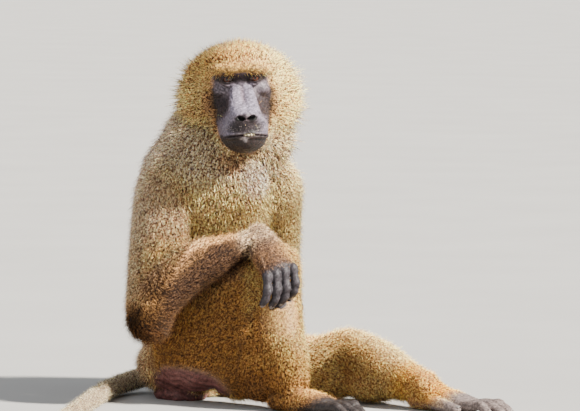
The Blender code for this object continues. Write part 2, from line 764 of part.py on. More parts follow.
def make_hand(side, wrist, knuckles, across, drop, parts):
    """Palm, four fingers that hang over what the hand rests on, and a short thumb."""
    wrist, knuckles = np.array(wrist), np.array(knuckles)
    along = unit(knuckles - wrist)
    across = np.array(across, float)
    across = unit(across - along * np.dot(across, along))
    bm = bmesh.new()
    palm = [
        (*wrist, 0.020, 0.018),
        (*(wrist + (knuckles - wrist) * 0.45), HAND_WIDTH * 0.46, 0.015),
        (*(knuckles - along * 0.006), HAND_WIDTH * 0.50, 0.0125),
    ]
    add_tube(bm, palm, side=across, count=16, cap=0.35)
    first, second = (unit(np.array(way, float)) for way in drop)
    for k, length in enumerate(FINGER_LENGTHS):
        shift = (k - 1.5) * HAND_WIDTH * 0.27
        root = knuckles + across * shift * 0.85 - along * 0.010
        knuckle = knuckles + across * shift
        joint = knuckle + first * length * 0.48 + across * shift * 0.10
        bend = joint + second * length * 0.27 + across * shift * 0.02
        tip = bend + unit(second - along * 0.55) * length * 0.25
        finger = [
            (*root, FINGER_RADIUS, FINGER_RADIUS),
            (*knuckle, FINGER_RADIUS * 1.06, FINGER_RADIUS * 1.06),
            (*joint, FINGER_RADIUS, FINGER_RADIUS),
            (*bend, FINGER_RADIUS * 0.88, FINGER_RADIUS * 0.82),
            (*tip, FINGER_RADIUS * 0.78, FINGER_RADIUS * 0.68),
        ]
        add_tube(bm, finger, side=across, steps=3, count=10)
    thumb_root = wrist + (knuckles - wrist) * 0.42 + across * HAND_WIDTH * 0.42
    thumb_joint = thumb_root + along * 0.016 + across * 0.012 + first * 0.006
    thumb_tip = thumb_joint + along * 0.012 + first * 0.014
    thumb = [
        (*thumb_root, 0.0085, 0.0085),
        (*thumb_joint, 0.0078, 0.0078),
        (*thumb_tip, 0.0062, 0.0058),
    ]
    add_tube(bm, thumb, side=across, steps=3, count=10)
    return fused("hand_" + side, bm, voxel=0.0019, rounds=3, triangles=560, group=parts)


def make_foot(side, heel, turn, ankle, inner, parts):
    """A flat foot with four toes ahead and the great toe set back on the inner side."""
    along = np.array((math.cos(turn), math.sin(turn), 0))
    across = np.array((-math.sin(turn), math.cos(turn), 0)) * inner
    heel = np.array((*heel, 0.0))
    up = np.array((0, 0, 1.0))

    def at(forward, inward, height):
        return heel + along * forward * FOOT_LENGTH + across * inward + up * height

    bm = bmesh.new()
    sole = [
        (*at(0.09, 0, 0.017), 0.019, 0.018),
        (*at(0.28, 0, 0.018), 0.021, 0.020),
        (*at(0.48, 0.001, 0.0165), 0.025, 0.0175),
        (*at(0.63, 0, 0.0130), FOOT_WIDTH / 2, 0.0130),
    ]
    add_tube(bm, sole, side=across, count=16, cap=0.45)
    instep = [
        (*ankle, 0.023, 0.025),
        (*at(0.32, 0, 0.024), 0.020, 0.019),
        (*at(0.48, 0, 0.018), 0.018, 0.014),
    ]
    add_tube(bm, instep, side=across, cap=0.5)
    for k, reach in enumerate(TOE_REACHES):
        inward = (1.5 - k) * FOOT_WIDTH * 0.262
        bend = 0.70 + (reach - 0.70) * 0.48
        toe = [
            (*at(0.58, inward * 0.95, 0.0125), TOE_RADIUS, TOE_RADIUS),
            (*at(0.70, inward * 1.02, 0.0150), TOE_RADIUS, TOE_RADIUS),
            (*at(bend, inward * 1.08, 0.0165), TOE_RADIUS * 0.95, TOE_RADIUS * 0.95),
            (*at(reach - 0.065, inward * 1.10, 0.0095), TOE_RADIUS * 0.88, TOE_RADIUS * 0.84),
            (*at(reach - 0.035, inward * 1.10, 0.0062), TOE_RADIUS * 0.80, TOE_RADIUS * 0.72),
        ]
        add_tube(bm, toe, side=across, steps=3, count=10)
    great = [
        (*at(0.30, 0.014, 0.0150), 0.011, 0.011),
        (*at(0.40, 0.026, 0.0140), 0.0105, 0.0105),
        (*at(0.52, 0.0335, 0.0125), 0.0100, 0.0095),
        (*at(0.62, 0.0350, 0.0085), 0.0092, 0.0080),
    ]
    add_tube(bm, great, side=across, steps=3, count=10)
    foot = fused("foot_" + side, bm, voxel=0.0021, rounds=3, triangles=560, group=parts)
    stand_on_floor(foot)
    return foot


def make_tail(parts):
    """The tail leaves the rump, bends to the right and lies on the floor in three lengths."""
    path = [
        (-0.060, 0.000, 0.038),
        (-0.098, -0.006, 0.028),
        (-0.113, -0.036, 0.0205),
        (-0.103, -0.086, 0.0170),
        (-0.075, -0.146, 0.0160),
        (-0.035, -0.216, 0.0150),
        (0.010, -0.295, 0.0140),
        (0.055, -0.375, 0.0130),
        (0.100, -0.452, 0.0118),
        (0.140, -0.525, 0.0105),
    ]
    count = len(path) - 1
    rows = []
    for k, place in enumerate(path):
        share = k / count
        radius = TAIL_ROOT_RADIUS + (TAIL_TIP_RADIUS - TAIL_ROOT_RADIUS) * share
        rows.append((*place, radius, radius))
    cuts = (0, 3, 6, count)
    lengths = []
    for name, first, last in zip(("root", "middle", "tip"), cuts, cuts[1:]):
        bm = bmesh.new()
        add_tube(bm, rows, side=(1, -0.5, 0), steps=2, count=9, cap=0.7)
        piece = object_of("tail_" + name, bm, parts)
        stand_on_floor(piece)
        for k, way in ((first, 1), (last, -1)):
            if k in (0, count):
                continue
            forward = Vector(path[k + 1]) - Vector(path[k - 1])
            forward.normalize()
            keep_side(piece, Vector(path[k]) + forward * way * GAP / 2, forward * way)
        lengths.append(piece)
    return lengths


def main():
    clear_scene()
    parts = collection("guinea_baboon")
    cutters = collection("cutters")
    trunk = make_trunk(parts)
    head, eyes, ears = make_head(parts, cutters, trunk)
    neck, torso, pelvis = part_trunk(trunk, head, ears, parts)
    pads = make_seat(pelvis, parts)
    tail = make_tail(parts)
    cut_clear(tail[0], [pelvis, pads])
    thigh_right, shank_right = make_leg_right(parts)
    thigh_left, shank_left = make_leg_left(parts)
    foot_right = make_foot("right", HEEL_RIGHT, FOOT_TURN_RIGHT, ANKLE_RIGHT, 1, parts)
    foot_left = make_foot("left", HEEL_LEFT, FOOT_TURN_LEFT, ANKLE_LEFT, -1, parts)
    cut_clear(thigh_right, [pelvis, torso, pads])
    cut_clear(thigh_left, [pelvis, torso, pads, thigh_right])
    cut_clear(shank_right, [thigh_right, thigh_left, foot_right])
    cut_clear(shank_left, [thigh_left, foot_left])
    upper_right, fore_right = make_arm("right", SHOULDER_RIGHT, ELBOW_RIGHT, WRIST_RIGHT, 1, parts)
    upper_left, fore_left = make_arm("left", SHOULDER_LEFT, ELBOW_LEFT, WRIST_LEFT, 0.3, parts)
    cut_clear(upper_right, [torso, pelvis, thigh_right])
    cut_clear(upper_left, [torso, pelvis])
    cut_clear(neck, [upper_right, upper_left], "MANIFOLD")
    cut_clear(fore_right, [upper_right, torso, pelvis, thigh_right])
    cut_clear(fore_left, [upper_left, torso, pelvis, thigh_left, thigh_right])
    hand_right = make_hand(
        "right", WRIST_RIGHT, KNUCKLES_RIGHT, (0.476, 0.831, 0.29),
        ((0.16, -0.06, -0.98), (-0.22, 0.02, -0.97)), parts,
    )
    hand_left = make_hand(
        "left", WRIST_LEFT, KNUCKLES_LEFT, (0.75, -0.55, 0.30),
        ((0.10, 0.25, -0.95), (-0.35, 0.25, -0.9)), parts,
    )
    cut_clear(hand_right, [fore_right, thigh_right, shank_right])
    cut_clear(hand_left, [fore_left, thigh_left, thigh_right, torso, shank_right])
    fur = coloured("fur", FUR_GOLD, 0.85)
    arm_fur = coloured("fur_arm", FUR_ARM, 0.85)
    mane_fur = coloured("fur_mane", FUR_MANE, 0.85)
    face_skin = coloured("skin_face", SKIN_FACE, 0.5)
    hand_skin = coloured("skin_hand", SKIN_HAND, 0.55)
    seat_skin = coloured("skin_seat", SKIN_SEAT, 0.5)
    brown = coloured("eye", EYE_BROWN, 0.1)
    looks = {"head": mane_fur, "neck": mane_fur, "seat_pads": seat_skin}
    for obj in parts.objects:
        drop_flat_edges(obj)
        name = obj.name
        if name.startswith("eye"):
            look = brown
        elif name.startswith(("hand", "foot")):
            look = hand_skin
        elif name.startswith("ear"):
            look = face_skin
        elif name.startswith(("upper_arm", "forearm")):
            look = arm_fur
        else:
            look = looks.get(name, fur)
        obj.data.materials.clear()
        obj.data.materials.append(look)


main()
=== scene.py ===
"""The looks of the guinea baboon: one skin, its coat in tufts, eyes, nails, floor, light and camera."""

import math

import bmesh
import bpy
import numpy as np
from mathutils import Matrix, Vector
from mathutils.bvhtree import BVHTree


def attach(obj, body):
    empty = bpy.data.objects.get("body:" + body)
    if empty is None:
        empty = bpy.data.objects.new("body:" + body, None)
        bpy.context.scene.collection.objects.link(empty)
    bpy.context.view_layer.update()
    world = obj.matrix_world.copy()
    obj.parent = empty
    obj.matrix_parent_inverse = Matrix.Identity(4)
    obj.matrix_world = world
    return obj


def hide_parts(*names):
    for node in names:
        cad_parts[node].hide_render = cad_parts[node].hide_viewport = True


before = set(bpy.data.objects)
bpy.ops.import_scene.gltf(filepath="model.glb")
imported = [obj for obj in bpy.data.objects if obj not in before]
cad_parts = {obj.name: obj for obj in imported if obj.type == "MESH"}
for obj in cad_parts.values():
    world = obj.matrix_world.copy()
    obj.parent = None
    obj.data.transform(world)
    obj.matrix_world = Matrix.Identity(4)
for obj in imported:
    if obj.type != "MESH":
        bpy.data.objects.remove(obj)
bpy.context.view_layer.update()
scene = bpy.context.scene

# The joints of the limbs, inside the coat.
HIP_LEFT = (0.030, 0.060, 0.085)
HIP_RIGHT = (0.030, -0.060, 0.087)
KNEE_LEFT = (0.228, 0.104, 0.080)
KNEE_RIGHT = (0.193, -0.039, 0.211)
ANKLE_LEFT = (0.395, 0.075, 0.038)
ANKLE_RIGHT = (0.246, -0.068, 0.042)
SHOULDER_LEFT = (0.066, 0.113, 0.320)
SHOULDER_RIGHT = (0.007, -0.093, 0.318)
ELBOW_LEFT = (0.018, 0.168, 0.152)
ELBOW_RIGHT = (0.032, -0.163, 0.138)
WRIST_LEFT = (0.132, 0.016, 0.196)
WRIST_RIGHT = (0.168, -0.059, 0.264)
KNUCKLES_RIGHT = (0.229, -0.079, 0.217)
KNUCKLES_LEFT = (0.166, 0.034, 0.166)
HAND_WIDTH = 0.055
FINGER_RADIUS = 0.0078
FINGER_LENGTHS = (0.046, 0.054, 0.056, 0.050)
FOOT_LENGTH = 0.200
FOOT_WIDTH = 0.052
TOE_RADIUS = 0.0085
TOE_REACHES = (0.92, 0.99, 1.0, 0.95)
HEEL_LEFT = (0.358, 0.078)
HEEL_RIGHT = (0.194, -0.066)
FOOT_TURN_LEFT = math.radians(-1.0)
FOOT_TURN_RIGHT = math.radians(-4.0)
TAIL_PATH = (
    (-0.060, 0.000, 0.038),
    (-0.098, -0.006, 0.028),
    (-0.113, -0.036, 0.0205),
    (-0.103, -0.086, 0.0170),
    (-0.075, -0.146, 0.0160),
    (-0.035, -0.216, 0.0150),
    (0.010, -0.295, 0.0140),
    (0.055, -0.375, 0.0130),
    (0.100, -0.452, 0.0118),
    (0.140, -0.525, 0.0105),
)

# The head's own frame: +X the way the face looks, +Y its left and +Z its crown.
HEAD = (
    Matrix.Translation((0.0855, -0.0012, 0.498))
    @ Matrix.Rotation(math.radians(-47.6), 4, "Z")
    @ Matrix.Rotation(math.radians(2.6), 4, "X")
)
MOUTH_HEIGHT = -0.0685
MOUTH_FRONT = 0.1400
# How far the corners of the mouth lie below its middle.
MOUTH_DROP = 0.0042
MOUTH_PATH = (
    (0.078, 0.0350),
    (0.092, 0.0352),
    (0.108, 0.0340),
    (0.121, 0.0300),
    (0.1305, 0.0230),
    (0.1370, 0.0125),
    (MOUTH_FRONT, 0.0),
)
EYE_PLACE = (0.0455, 0.0208, 0.0168)
EYE_RADIUS = 0.0115
EAR_PLACE = (-0.044, 0.077, 0.004)

# The least height of the skin and of the hair above the floor, and how deep a hair's root lies.
LOWEST = 0.0003
ROOT_DEPTH = 0.0012

# How far the ear leans about its own Y and Z, in degrees.
EAR_LEAN = (-8, -28)

# Centre and half sizes of the bare skin that the animal sits on, and of its folded part.
SEAT_BARE = (
    ((-0.004, -0.040, 0.004), (0.054, 0.043, 0.024)),
    ((-0.004, 0.040, 0.004), (0.054, 0.043, 0.024)),
    ((0.046, -0.106, 0.014), (0.096, 0.052, 0.046)),
    ((0.020, 0.104, 0.010), (0.060, 0.050, 0.030)),
)
SEAT_FOLDED = (
    ((0.030, -0.100, 0.022), (0.090, 0.060, 0.046)),
    ((0.030, 0.100, 0.022), (0.090, 0.060, 0.046)),
)

nails = []
digits = []


def unit(vector):
    return vector / np.linalg.norm(vector)


def rows_unit(vectors):
    return vectors / np.maximum(np.linalg.norm(vectors, axis=1, keepdims=True), 1e-9)


def smooth_step(low, high, value):
    t = np.clip((value - low) / (high - low), 0, 1)
    return t * t * (3 - 2 * t)


def smooth_rows(stations, steps):
    """A smooth curve through rows of numbers, with this many steps between two rows."""
    rows = np.array(stations, float)
    padded = np.vstack([2 * rows[0] - rows[1], rows, 2 * rows[-1] - rows[-2]])
    made = []
    for a, b, c, d in zip(padded, padded[1:], padded[2:], padded[3:]):
        for t in np.arange(steps) / steps:
            curve = 2 * b + (c - a) * t + (2 * a - 5 * b + 4 * c - d) * t**2
            made.append(0.5 * (curve + (3 * b - a - 3 * c + d) * t**3))
    made.append(rows[-1])
    return np.array(made)


def close_rings(bm, rings, poles):
    """Faces from ring to ring, and from the first and the last ring to their poles."""
    count = len(rings[0])
    for first, second in zip(rings, rings[1:]):
        for k in range(count):
            after = (k + 1) % count
            bm.faces.new((first[k], first[after], second[after], second[k]))
    for pole, ring in zip(poles, (rings[0], rings[-1])):
        for k in range(count):
            bm.faces.new((pole, ring[k], ring[(k + 1) % count]))


def add_tube(bm, stations, side=(0, 1, 0), steps=5, count=20, cap=0.8):
    """A tube with round ends, through stations of x, y, z, half width along side and half depth."""
    rows = smooth_rows(stations, steps)
    along = np.gradient(rows[:, :3], axis=0)
    rings = []
    ends = [(0, -1, angle) for angle in (65, 35)]
    ends += [(i, 0, 0) for i in range(len(rows))]
    ends += [(len(rows) - 1, 1, angle) for angle in (35, 65)]
    poles = []
    for i, way, angle in ends:
        forward = unit(along[i])
        across = unit(np.array(side, float) - forward * np.dot(side, forward))
        up = np.cross(forward, across)
        wide, deep = rows[i, 3:5]
        reach = cap * (wide + deep) / 2
        turn = math.radians(angle)
        centre = rows[i, :3] + way * forward * reach * math.sin(turn)
        ring = []
        for k in range(count):
            around = 2 * math.pi * k / count
            spread = across * wide * math.cos(around) + up * deep * math.sin(around)
            ring.append(bm.verts.new(centre + spread * math.cos(turn)))
        rings.append(ring)
        if angle == 65:
            poles.append(bm.verts.new(rows[i, :3] + way * forward * reach))
    close_rings(bm, rings, poles)


def add_ball(bm, centre, radii, turn=(0, 0, 0), segments=24):
    """A ball with its own half sizes along X, Y and Z, turned about X, Y and Z in degrees."""
    place = Matrix.Translation(centre)
    for axis, angle in zip("XYZ", turn):
        place = place @ Matrix.Rotation(math.radians(angle), 4, axis)
    place = place @ Matrix.Diagonal((*radii, 1))
    bmesh.ops.create_uvsphere(
        bm, u_segments=segments, v_segments=max(6, segments // 2 + 2), radius=1, matrix=place
    )


def place_object(name, data):
    obj = bpy.data.objects.new(name, data)
    scene.collection.objects.link(obj)
    return obj


def object_of(name, bm):
    bmesh.ops.recalc_face_normals(bm, faces=bm.faces)
    mesh = bpy.data.meshes.new(name)
    bm.to_mesh(mesh)
    bm.free()
    return place_object(name, mesh)


def apply_modifiers(obj):
    bpy.context.view_layer.update()
    graph = bpy.context.evaluated_depsgraph_get()
    mesh = bpy.data.meshes.new_from_object(obj.evaluated_get(graph))
    obj.modifiers.clear()
    obj.data = mesh
    return obj


def fused(obj, voxel, rounds):
    """One closed skin round overlapping forms, with its joins eased."""
    join = obj.modifiers.new("join", "REMESH")
    join.mode = "VOXEL"
    join.voxel_size = voxel
    ease = obj.modifiers.new("ease", "SMOOTH")
    ease.factor = 0.5
    ease.iterations = rounds
    return apply_modifiers(obj)


def boolean(obj, other, operation):
    step = obj.modifiers.new("boolean", "BOOLEAN")
    step.operation = operation
    step.solver = "MANIFOLD"
    step.object = other
    apply_modifiers(obj)
    bpy.data.objects.remove(other)


def joined(name, objects):
    """One object that holds the meshes of several."""
    bm = bmesh.new()
    for obj in objects:
        bm.from_mesh(obj.data)
        bpy.data.objects.remove(obj)
    mesh = bpy.data.meshes.new(name)
    bm.to_mesh(mesh)
    bm.free()
    return place_object(name, mesh)


def points_of(mesh, kind="co"):
    flat = np.empty(len(mesh.vertices) * 3, np.float32)
    mesh.vertices.foreach_get(kind, flat)
    return flat.reshape(-1, 3).astype(float)


def normals_of(mesh):
    return points_of(mesh, "normal")


def mouth_rows(rise, wide, deep, taper=0.6):
    """Stations along the line of the mouth, from one corner round the front to the other."""
    half = list(MOUTH_PATH)
    around = [(x, -y) for x, y in half[:-1]] + half[::-1]
    rows = []
    for x, y in around:
        share = abs(y) / MOUTH_PATH[0][1]
        end = 1 - taper * share**6
        height = MOUTH_HEIGHT + rise * (1 - 0.5 * share**4) - MOUTH_DROP * share**3
        rows.append((x, y, height, wide * end, deep * end))
    return rows


def lid_rows(y, height, radius, thick, spread=52, sink=0.0):
    """An arc over the eyeball, from the inner corner of the lids to the outer one."""
    rows = []
    for k in range(9):
        share = -1 + k / 4
        turn = math.radians(spread * share)
        rise = math.radians(height * (1 - abs(share) ** 2.2) + sink)
        x = EYE_PLACE[0] + radius * math.cos(rise) * math.cos(turn)
        side = EYE_PLACE[1] + radius * math.cos(rise) * math.sin(turn)
        end = 0.55 + 0.45 * (1 - share**2)
        rows.append((x, y * side, EYE_PLACE[2] + radius * math.sin(rise), thick * end, thick * end))
    return rows


# Cross-sections of the muzzle: x, then y and z of points from the top down one side to the chin.
MUZZLE = (
    (0.024, (0, 0.010), (0.010, 0.010), (0.020, 0.008), (0.031, 0.003), (0.040, -0.008),
     (0.045, -0.026), (0.046, -0.046), (0.043, -0.068), (0.031, -0.088), (0, -0.096)),
    (0.042, (0, 0.0090), (0.006, 0.0095), (0.013, 0.0080), (0.0215, 0.0010), (0.0300, -0.0115),
     (0.0395, -0.0260), (0.0430, -0.0460), (0.0410, -0.0680), (0.0300, -0.0890), (0, -0.0980)),
    (0.054, (0, 0.0050), (0.0060, 0.0070), (0.0130, 0.0055), (0.0190, -0.0020), (0.0230, -0.0140),
     (0.0320, -0.0290), (0.0385, -0.0460), (0.0380, -0.0680), (0.0290, -0.0900), (0, -0.0995)),
    (0.070, (0, -0.0040), (0.0065, -0.0010), (0.0150, -0.0012), (0.0205, -0.0085), (0.0222, -0.0205),
     (0.0280, -0.0350), (0.0355, -0.0510), (0.0360, -0.0690), (0.0285, -0.0895), (0, -0.1000)),
    (0.090, (0, -0.0135), (0.0070, -0.0100), (0.0160, -0.0105), (0.0218, -0.0172), (0.0235, -0.0275),
     (0.0275, -0.0400), (0.0350, -0.0540), (0.0352, -0.0690), (0.0275, -0.0885), (0, -0.0990)),
    (0.108, (0, -0.0205), (0.0062, -0.0185), (0.0152, -0.0195), (0.0215, -0.0255), (0.0245, -0.0345),
     (0.0290, -0.0455), (0.0340, -0.0565), (0.0335, -0.0690), (0.0255, -0.0870), (0, -0.0970)),
    (0.122, (0, -0.0275), (0.0062, -0.0265), (0.0135, -0.0280), (0.0200, -0.0335), (0.0235, -0.0420),
     (0.0270, -0.0510), (0.0290, -0.0595), (0.0285, -0.0695), (0.0215, -0.0850), (0, -0.0940)),
    (0.132, (0, -0.0330), (0.0060, -0.0330), (0.0110, -0.0345), (0.0160, -0.0390), (0.0185, -0.0465),
     (0.0200, -0.0540), (0.0210, -0.0610), (0.0205, -0.0700), (0.0150, -0.0825), (0, -0.0900)),
    (0.1385, (0, -0.0400), (0.0035, -0.0405), (0.0065, -0.0420), (0.0095, -0.0460), (0.0108, -0.0510),
     (0.0112, -0.0560), (0.0112, -0.0620), (0.0108, -0.0700), (0.0075, -0.0785), (0, -0.0830)),
)


def add_loft(bm, sections, steps=4):
    """A closed form, alike on both sides, through cross-sections from the back to the front."""
    flat = [[x, *(v for point in points for v in point)] for x, *points in sections]
    rings = []
    for row in smooth_rows(flat, steps):
        half = [tuple(pair) for pair in row[1:].reshape(-1, 2)]
        ends = [(-half[1][0], half[1][1]), *half, (-half[-2][0], half[-2][1])]
        curve = smooth_rows(ends, steps)[steps : steps * len(half) + 1]
        side = [(row[0], y, z) for y, z in curve]
        around = side + [(x, -y, z) for x, y, z in side[-2:0:-1]]
        rings.append([bm.verts.new(place) for place in around])
    poles = []
    for ring, way in ((rings[0], -0.004), (rings[-1], 0.0018)):
        middle = sum((vert.co for vert in ring), Vector()) / len(ring)
        poles.append(bm.verts.new(middle + Vector((way, 0, 0))))
    close_rings(bm, rings, poles)


def face_forms(bm):
    """The broad forms of the bare head: braincase, brow, cheekbones, muzzle with its jaw, and throat."""
    add_ball(bm, (-0.006, 0, 0.010), (0.062, 0.051, 0.046))
    add_ball(bm, (0.024, 0, 0.018), (0.030, 0.046, 0.028))
    add_loft(bm, MUZZLE)
    for y in (-1, 1):
        add_ball(bm, (0.000, y * 0.037, -0.010), (0.038, 0.026, 0.034))
        # the pad under the eye, and the bone that runs back from it to the ear
        add_ball(bm, (0.0280, y * 0.0290, -0.0010), (0.0215, 0.0200, 0.0150), turn=(y * -8, 0, y * -24))
        cheekbone = [
            (0.036, y * 0.0330, 0.0060, 0.0090, 0.0090),
            (0.024, y * 0.0420, 0.0060, 0.0105, 0.0100),
            (0.006, y * 0.0480, 0.0000, 0.0100, 0.0100),
        ]
        add_tube(bm, cheekbone, side=(0, 0, 1), count=14)
        add_ball(bm, (0.1340, y * 0.0092, -0.0415), (0.0105, 0.0090, 0.0086))
        # the fold that runs from the wing of the nose down the side of the lip
        fold = [
            (0.1280, y * 0.0185, -0.0400, 0.0030, 0.0030),
            (0.1210, y * 0.0262, -0.0480, 0.0030, 0.0030),
            (0.1100, y * 0.0318, -0.0560, 0.0030, 0.0030),
        ]
        add_tube(bm, fold, count=10)
    brow = [
        (0.026, -0.0470, 0.0270, 0.0080, 0.0070),
        (0.038, -0.0420, 0.0305, 0.0110, 0.0085),
        (0.0530, -0.024, 0.0315, 0.0145, 0.0092),
        (0.0545, 0, 0.0312, 0.0145, 0.0092),
        (0.0530, 0.024, 0.0315, 0.0145, 0.0092),
        (0.038, 0.0420, 0.0305, 0.0110, 0.0085),
        (0.026, 0.0470, 0.0270, 0.0080, 0.0070),
    ]
    add_tube(bm, brow, side=(1, 0, 0), count=18)
    # between the eyes, up to the brow
    add_ball(bm, (0.0480, 0, 0.0180), (0.0095, 0.0090, 0.0140))
    add_ball(bm, (0.1400, 0, -0.0385), (0.0080, 0.0070, 0.0078))
    throat = [
        (0.030, 0, -0.072, 0.036, 0.026),
        (-0.010, 0, -0.082, 0.050, 0.046),
        (-0.045, 0, -0.110, 0.060, 0.056),
    ]
    add_tube(bm, throat)


def make_face():
    """The bare head with its lids, nose and lips."""
    broad = bmesh.new()
    face_forms(broad)
    broad = fused(object_of("face_forms", broad), 0.0016, 24)
    bm = bmesh.new()
    for y in (-1, 1):
        # the wing round each nostril
        wing = [
            (0.1395, y * 0.0020, -0.0362, 0.0034, 0.0036),
            (0.1402, y * 0.0080, -0.0354, 0.0036, 0.0036),
            (0.1378, y * 0.0142, -0.0380, 0.0034, 0.0038),
            (0.1345, y * 0.0165, -0.0428, 0.0034, 0.0040),
            (0.1345, y * 0.0135, -0.0472, 0.0032, 0.0036),
        ]
        add_tube(bm, wing, side=(1, 0, 0), count=12)
        add_ball(bm, (EYE_PLACE[0], y * EYE_PLACE[1], EYE_PLACE[2]), (0.0130,) * 3, segments=28)
        add_tube(bm, lid_rows(y, 30, 0.0134, 0.0017), side=(1, 0, 0), steps=3, count=10)
        add_tube(bm, lid_rows(y, -26, 0.0132, 0.0016), side=(1, 0, 0), steps=3, count=10)
        add_tube(bm, lid_rows(y, -32, 0.0140, 0.0018, 50, -18), side=(1, 0, 0), steps=3, count=10)
    for way, deep in ((1, 0.0030), (-1, 0.0033)):
        lip = mouth_rows(way * 0.0026, 0.0030, deep)
        add_tube(bm, lip, side=(0, 0, 1), steps=3, count=12)
    face = fused(joined("face", [broad, object_of("face_details", bm)]), 0.00105, 9)
    parting = bmesh.new()
    line = mouth_rows(0.0, 0.0010, 0.0066, taper=0.9)
    add_tube(parting, line, side=(0, 0, 1), steps=3, count=8, cap=0.1)
    # the lips stand a little open over the front teeth
    add_ball(parting, (0.1420, 0.0045, MOUTH_HEIGHT + 0.0010), (0.0090, 0.0098, 0.0030), segments=24)
    join_parting = object_of("mouth_line", parting)
    boolean(face, fused(join_parting, 0.0005, 1), "DIFFERENCE")
    for y in (1, -1):
        hollow = bmesh.new()
        place = (0.1462, y * 0.0086, -0.0420)
        add_ball(hollow, place, (0.0125, 0.0088, 0.0043), turn=(y * 22, 16, y * 24), segments=24)
        boolean(face, object_of("nostril", hollow), "DIFFERENCE")
        opening = bmesh.new()
        place = (0.0590, y * 0.0210, 0.0155)
        add_ball(opening, place, (0.0130, 0.0094, 0.0036), turn=(y * 4, 0, y * 14), segments=32)
        boolean(face, object_of("lid_opening", opening), "DIFFERENCE")
        socket = bmesh.new()
        centre = (EYE_PLACE[0], y * EYE_PLACE[1], EYE_PLACE[2])
        add_ball(socket, centre, (EYE_RADIUS + 0.0001,) * 3, segments=32)
        boolean(face, object_of("socket", socket), "DIFFERENCE")
    return face


def make_ruff_core():
    """The head under its long hair."""
    bm = bmesh.new()
    stations = [
        (0.028, 0, -0.020, 0.044, 0.046),
        (0.020, 0, -0.019, 0.062, 0.058),
        (0.008, 0, -0.020, 0.078, 0.068),
        (-0.010, 0, -0.020, 0.087, 0.075),
        (-0.028, 0, -0.021, 0.084, 0.075),
        (-0.048, 0, -0.022, 0.075, 0.070),
        (-0.068, 0, -0.025, 0.064, 0.060),
        (-0.086, 0, -0.031, 0.045, 0.042),
    ]
    add_tube(bm, stations, cap=0.35)
    add_ball(bm, (-0.014, 0, 0.004), (0.064, 0.078, 0.061), segments=40)
    add_ball(bm, (0.021, 0, 0.0345), (0.046, 0.054, 0.0300))
    chin_hair = [
        (0.012, 0, -0.070, 0.046, 0.028),
        (-0.012, 0, -0.080, 0.068, 0.036),
        (-0.040, 0, -0.090, 0.074, 0.046),
        (-0.066, 0, -0.094, 0.068, 0.046),
    ]
    add_tube(bm, chin_hair, cap=0.5)
    for y in (-1, 1):
        add_ball(bm, (EAR_PLACE[0] + 0.006, y * 0.066, EAR_PLACE[2] - 0.002), (0.014, 0.012, 0.018))
    return fused(object_of("ruff_core", bm), 0.003, 30)


def make_ear(y):
    shell = bmesh.new()
    place = Vector((EAR_PLACE[0], y * EAR_PLACE[1], EAR_PLACE[2]))
    lean = (0, EAR_LEAN[0], y * EAR_LEAN[1])
    add_ball(shell, place, (0.0165, 0.0085, 0.0245), turn=lean, segments=32)
    add_ball(shell, place + Vector((0.009, -y * 0.002, -0.016)), (0.008, 0.007, 0.008))
    ear = object_of("ear", shell)
    cup = bmesh.new()
    add_ball(cup, place + Vector((0.003, y * 0.0080, 0.001)), (0.0128, 0.0105, 0.0190), turn=lean)
    boolean(fused(ear, 0.0011, 2), object_of("ear_cup", cup), "DIFFERENCE")
    inner = bmesh.new()
    add_ball(inner, place + Vector((0.004, y * 0.001, -0.006)), (0.0060, 0.0050, 0.0045))
    return ear, object_of("ear_fold", inner)


def make_trunk():
    """Pelvis, torso and neck as one form, under the coat."""
    bm = bmesh.new()
    spine = [
        (0.000, 0, 0.050, 0.079, 0.061),
        (0.000, 0, 0.090, 0.090, 0.076),
        (-0.008, 0, 0.150, 0.088, 0.088),
        (-0.012, 0, 0.210, 0.088, 0.097),
        (-0.006, 0, 0.270, 0.092, 0.100),
        (0.008, 0, 0.320, 0.096, 0.099),
        (0.020, 0.002, 0.355, 0.094, 0.097),
        (0.026, 0.008, 0.390, 0.086, 0.086),
        (0.024, 0.018, 0.425, 0.072, 0.070),
        (0.026, 0.026, 0.452, 0.054, 0.050),
    ]
    add_tube(bm, spine, count=28, cap=0.25)
    for y in (-1, 1):
        add_ball(bm, (-0.010, y * 0.045, 0.055), (0.067, 0.046, 0.047))
    add_ball(bm, (0.040, 0.012, 0.310), (0.070, 0.078, 0.081))
    add_ball(bm, (-0.030, 0, 0.330), (0.059, 0.076, 0.063))
    add_ball(bm, (0.077, 0.092, 0.328), (0.045, 0.048, 0.052))
    add_ball(bm, (0.014, -0.068, 0.342), (0.050, 0.044, 0.056))
    return fused(object_of("trunk", bm), 0.005, 14)


def add_limb(bm, start, end, radii, bow=(0, 0, 0)):
    """A limb from joint to joint, through rows of share of the way, half width and half depth."""
    start, end = np.array(start), np.array(end)
    stations = []
    for share, wide, deep in radii:
        place = start + (end - start) * share + np.array(bow) * math.sin(math.pi * share)
        stations.append((*place, wide, deep))
    add_tube(bm, stations)


UPPER_ARM = ((0.0, 0.037, 0.043), (0.45, 0.037, 0.042), (0.8, 0.034, 0.037), (1.0, 0.031, 0.032))
# The forearm's rows are share of the way, rise above the line of the bones, half width and half depth.
FOREARM = (
    (0.0, 0.020, 0.034, 0.034),
    (0.22, 0.034, 0.034, 0.038),
    (0.40, 0.033, 0.031, 0.035),
    (0.60, 0.022, 0.028, 0.029),
    (0.85, 0.008, 0.020, 0.0190),
    (1.0, 0.002, 0.018, 0.0160),
)
THIGH_RIGHT = ((0.0, 0.058, 0.073), (0.35, 0.054, 0.070), (0.7, 0.046, 0.058), (1.0, 0.034, 0.037))
SHANK_RIGHT = (
    (0.0, 0.033, 0.037),
    (0.3, 0.037, 0.053),
    (0.6, 0.037, 0.055),
    (0.85, 0.030, 0.047),
    (1.0, 0.022, 0.029),
)
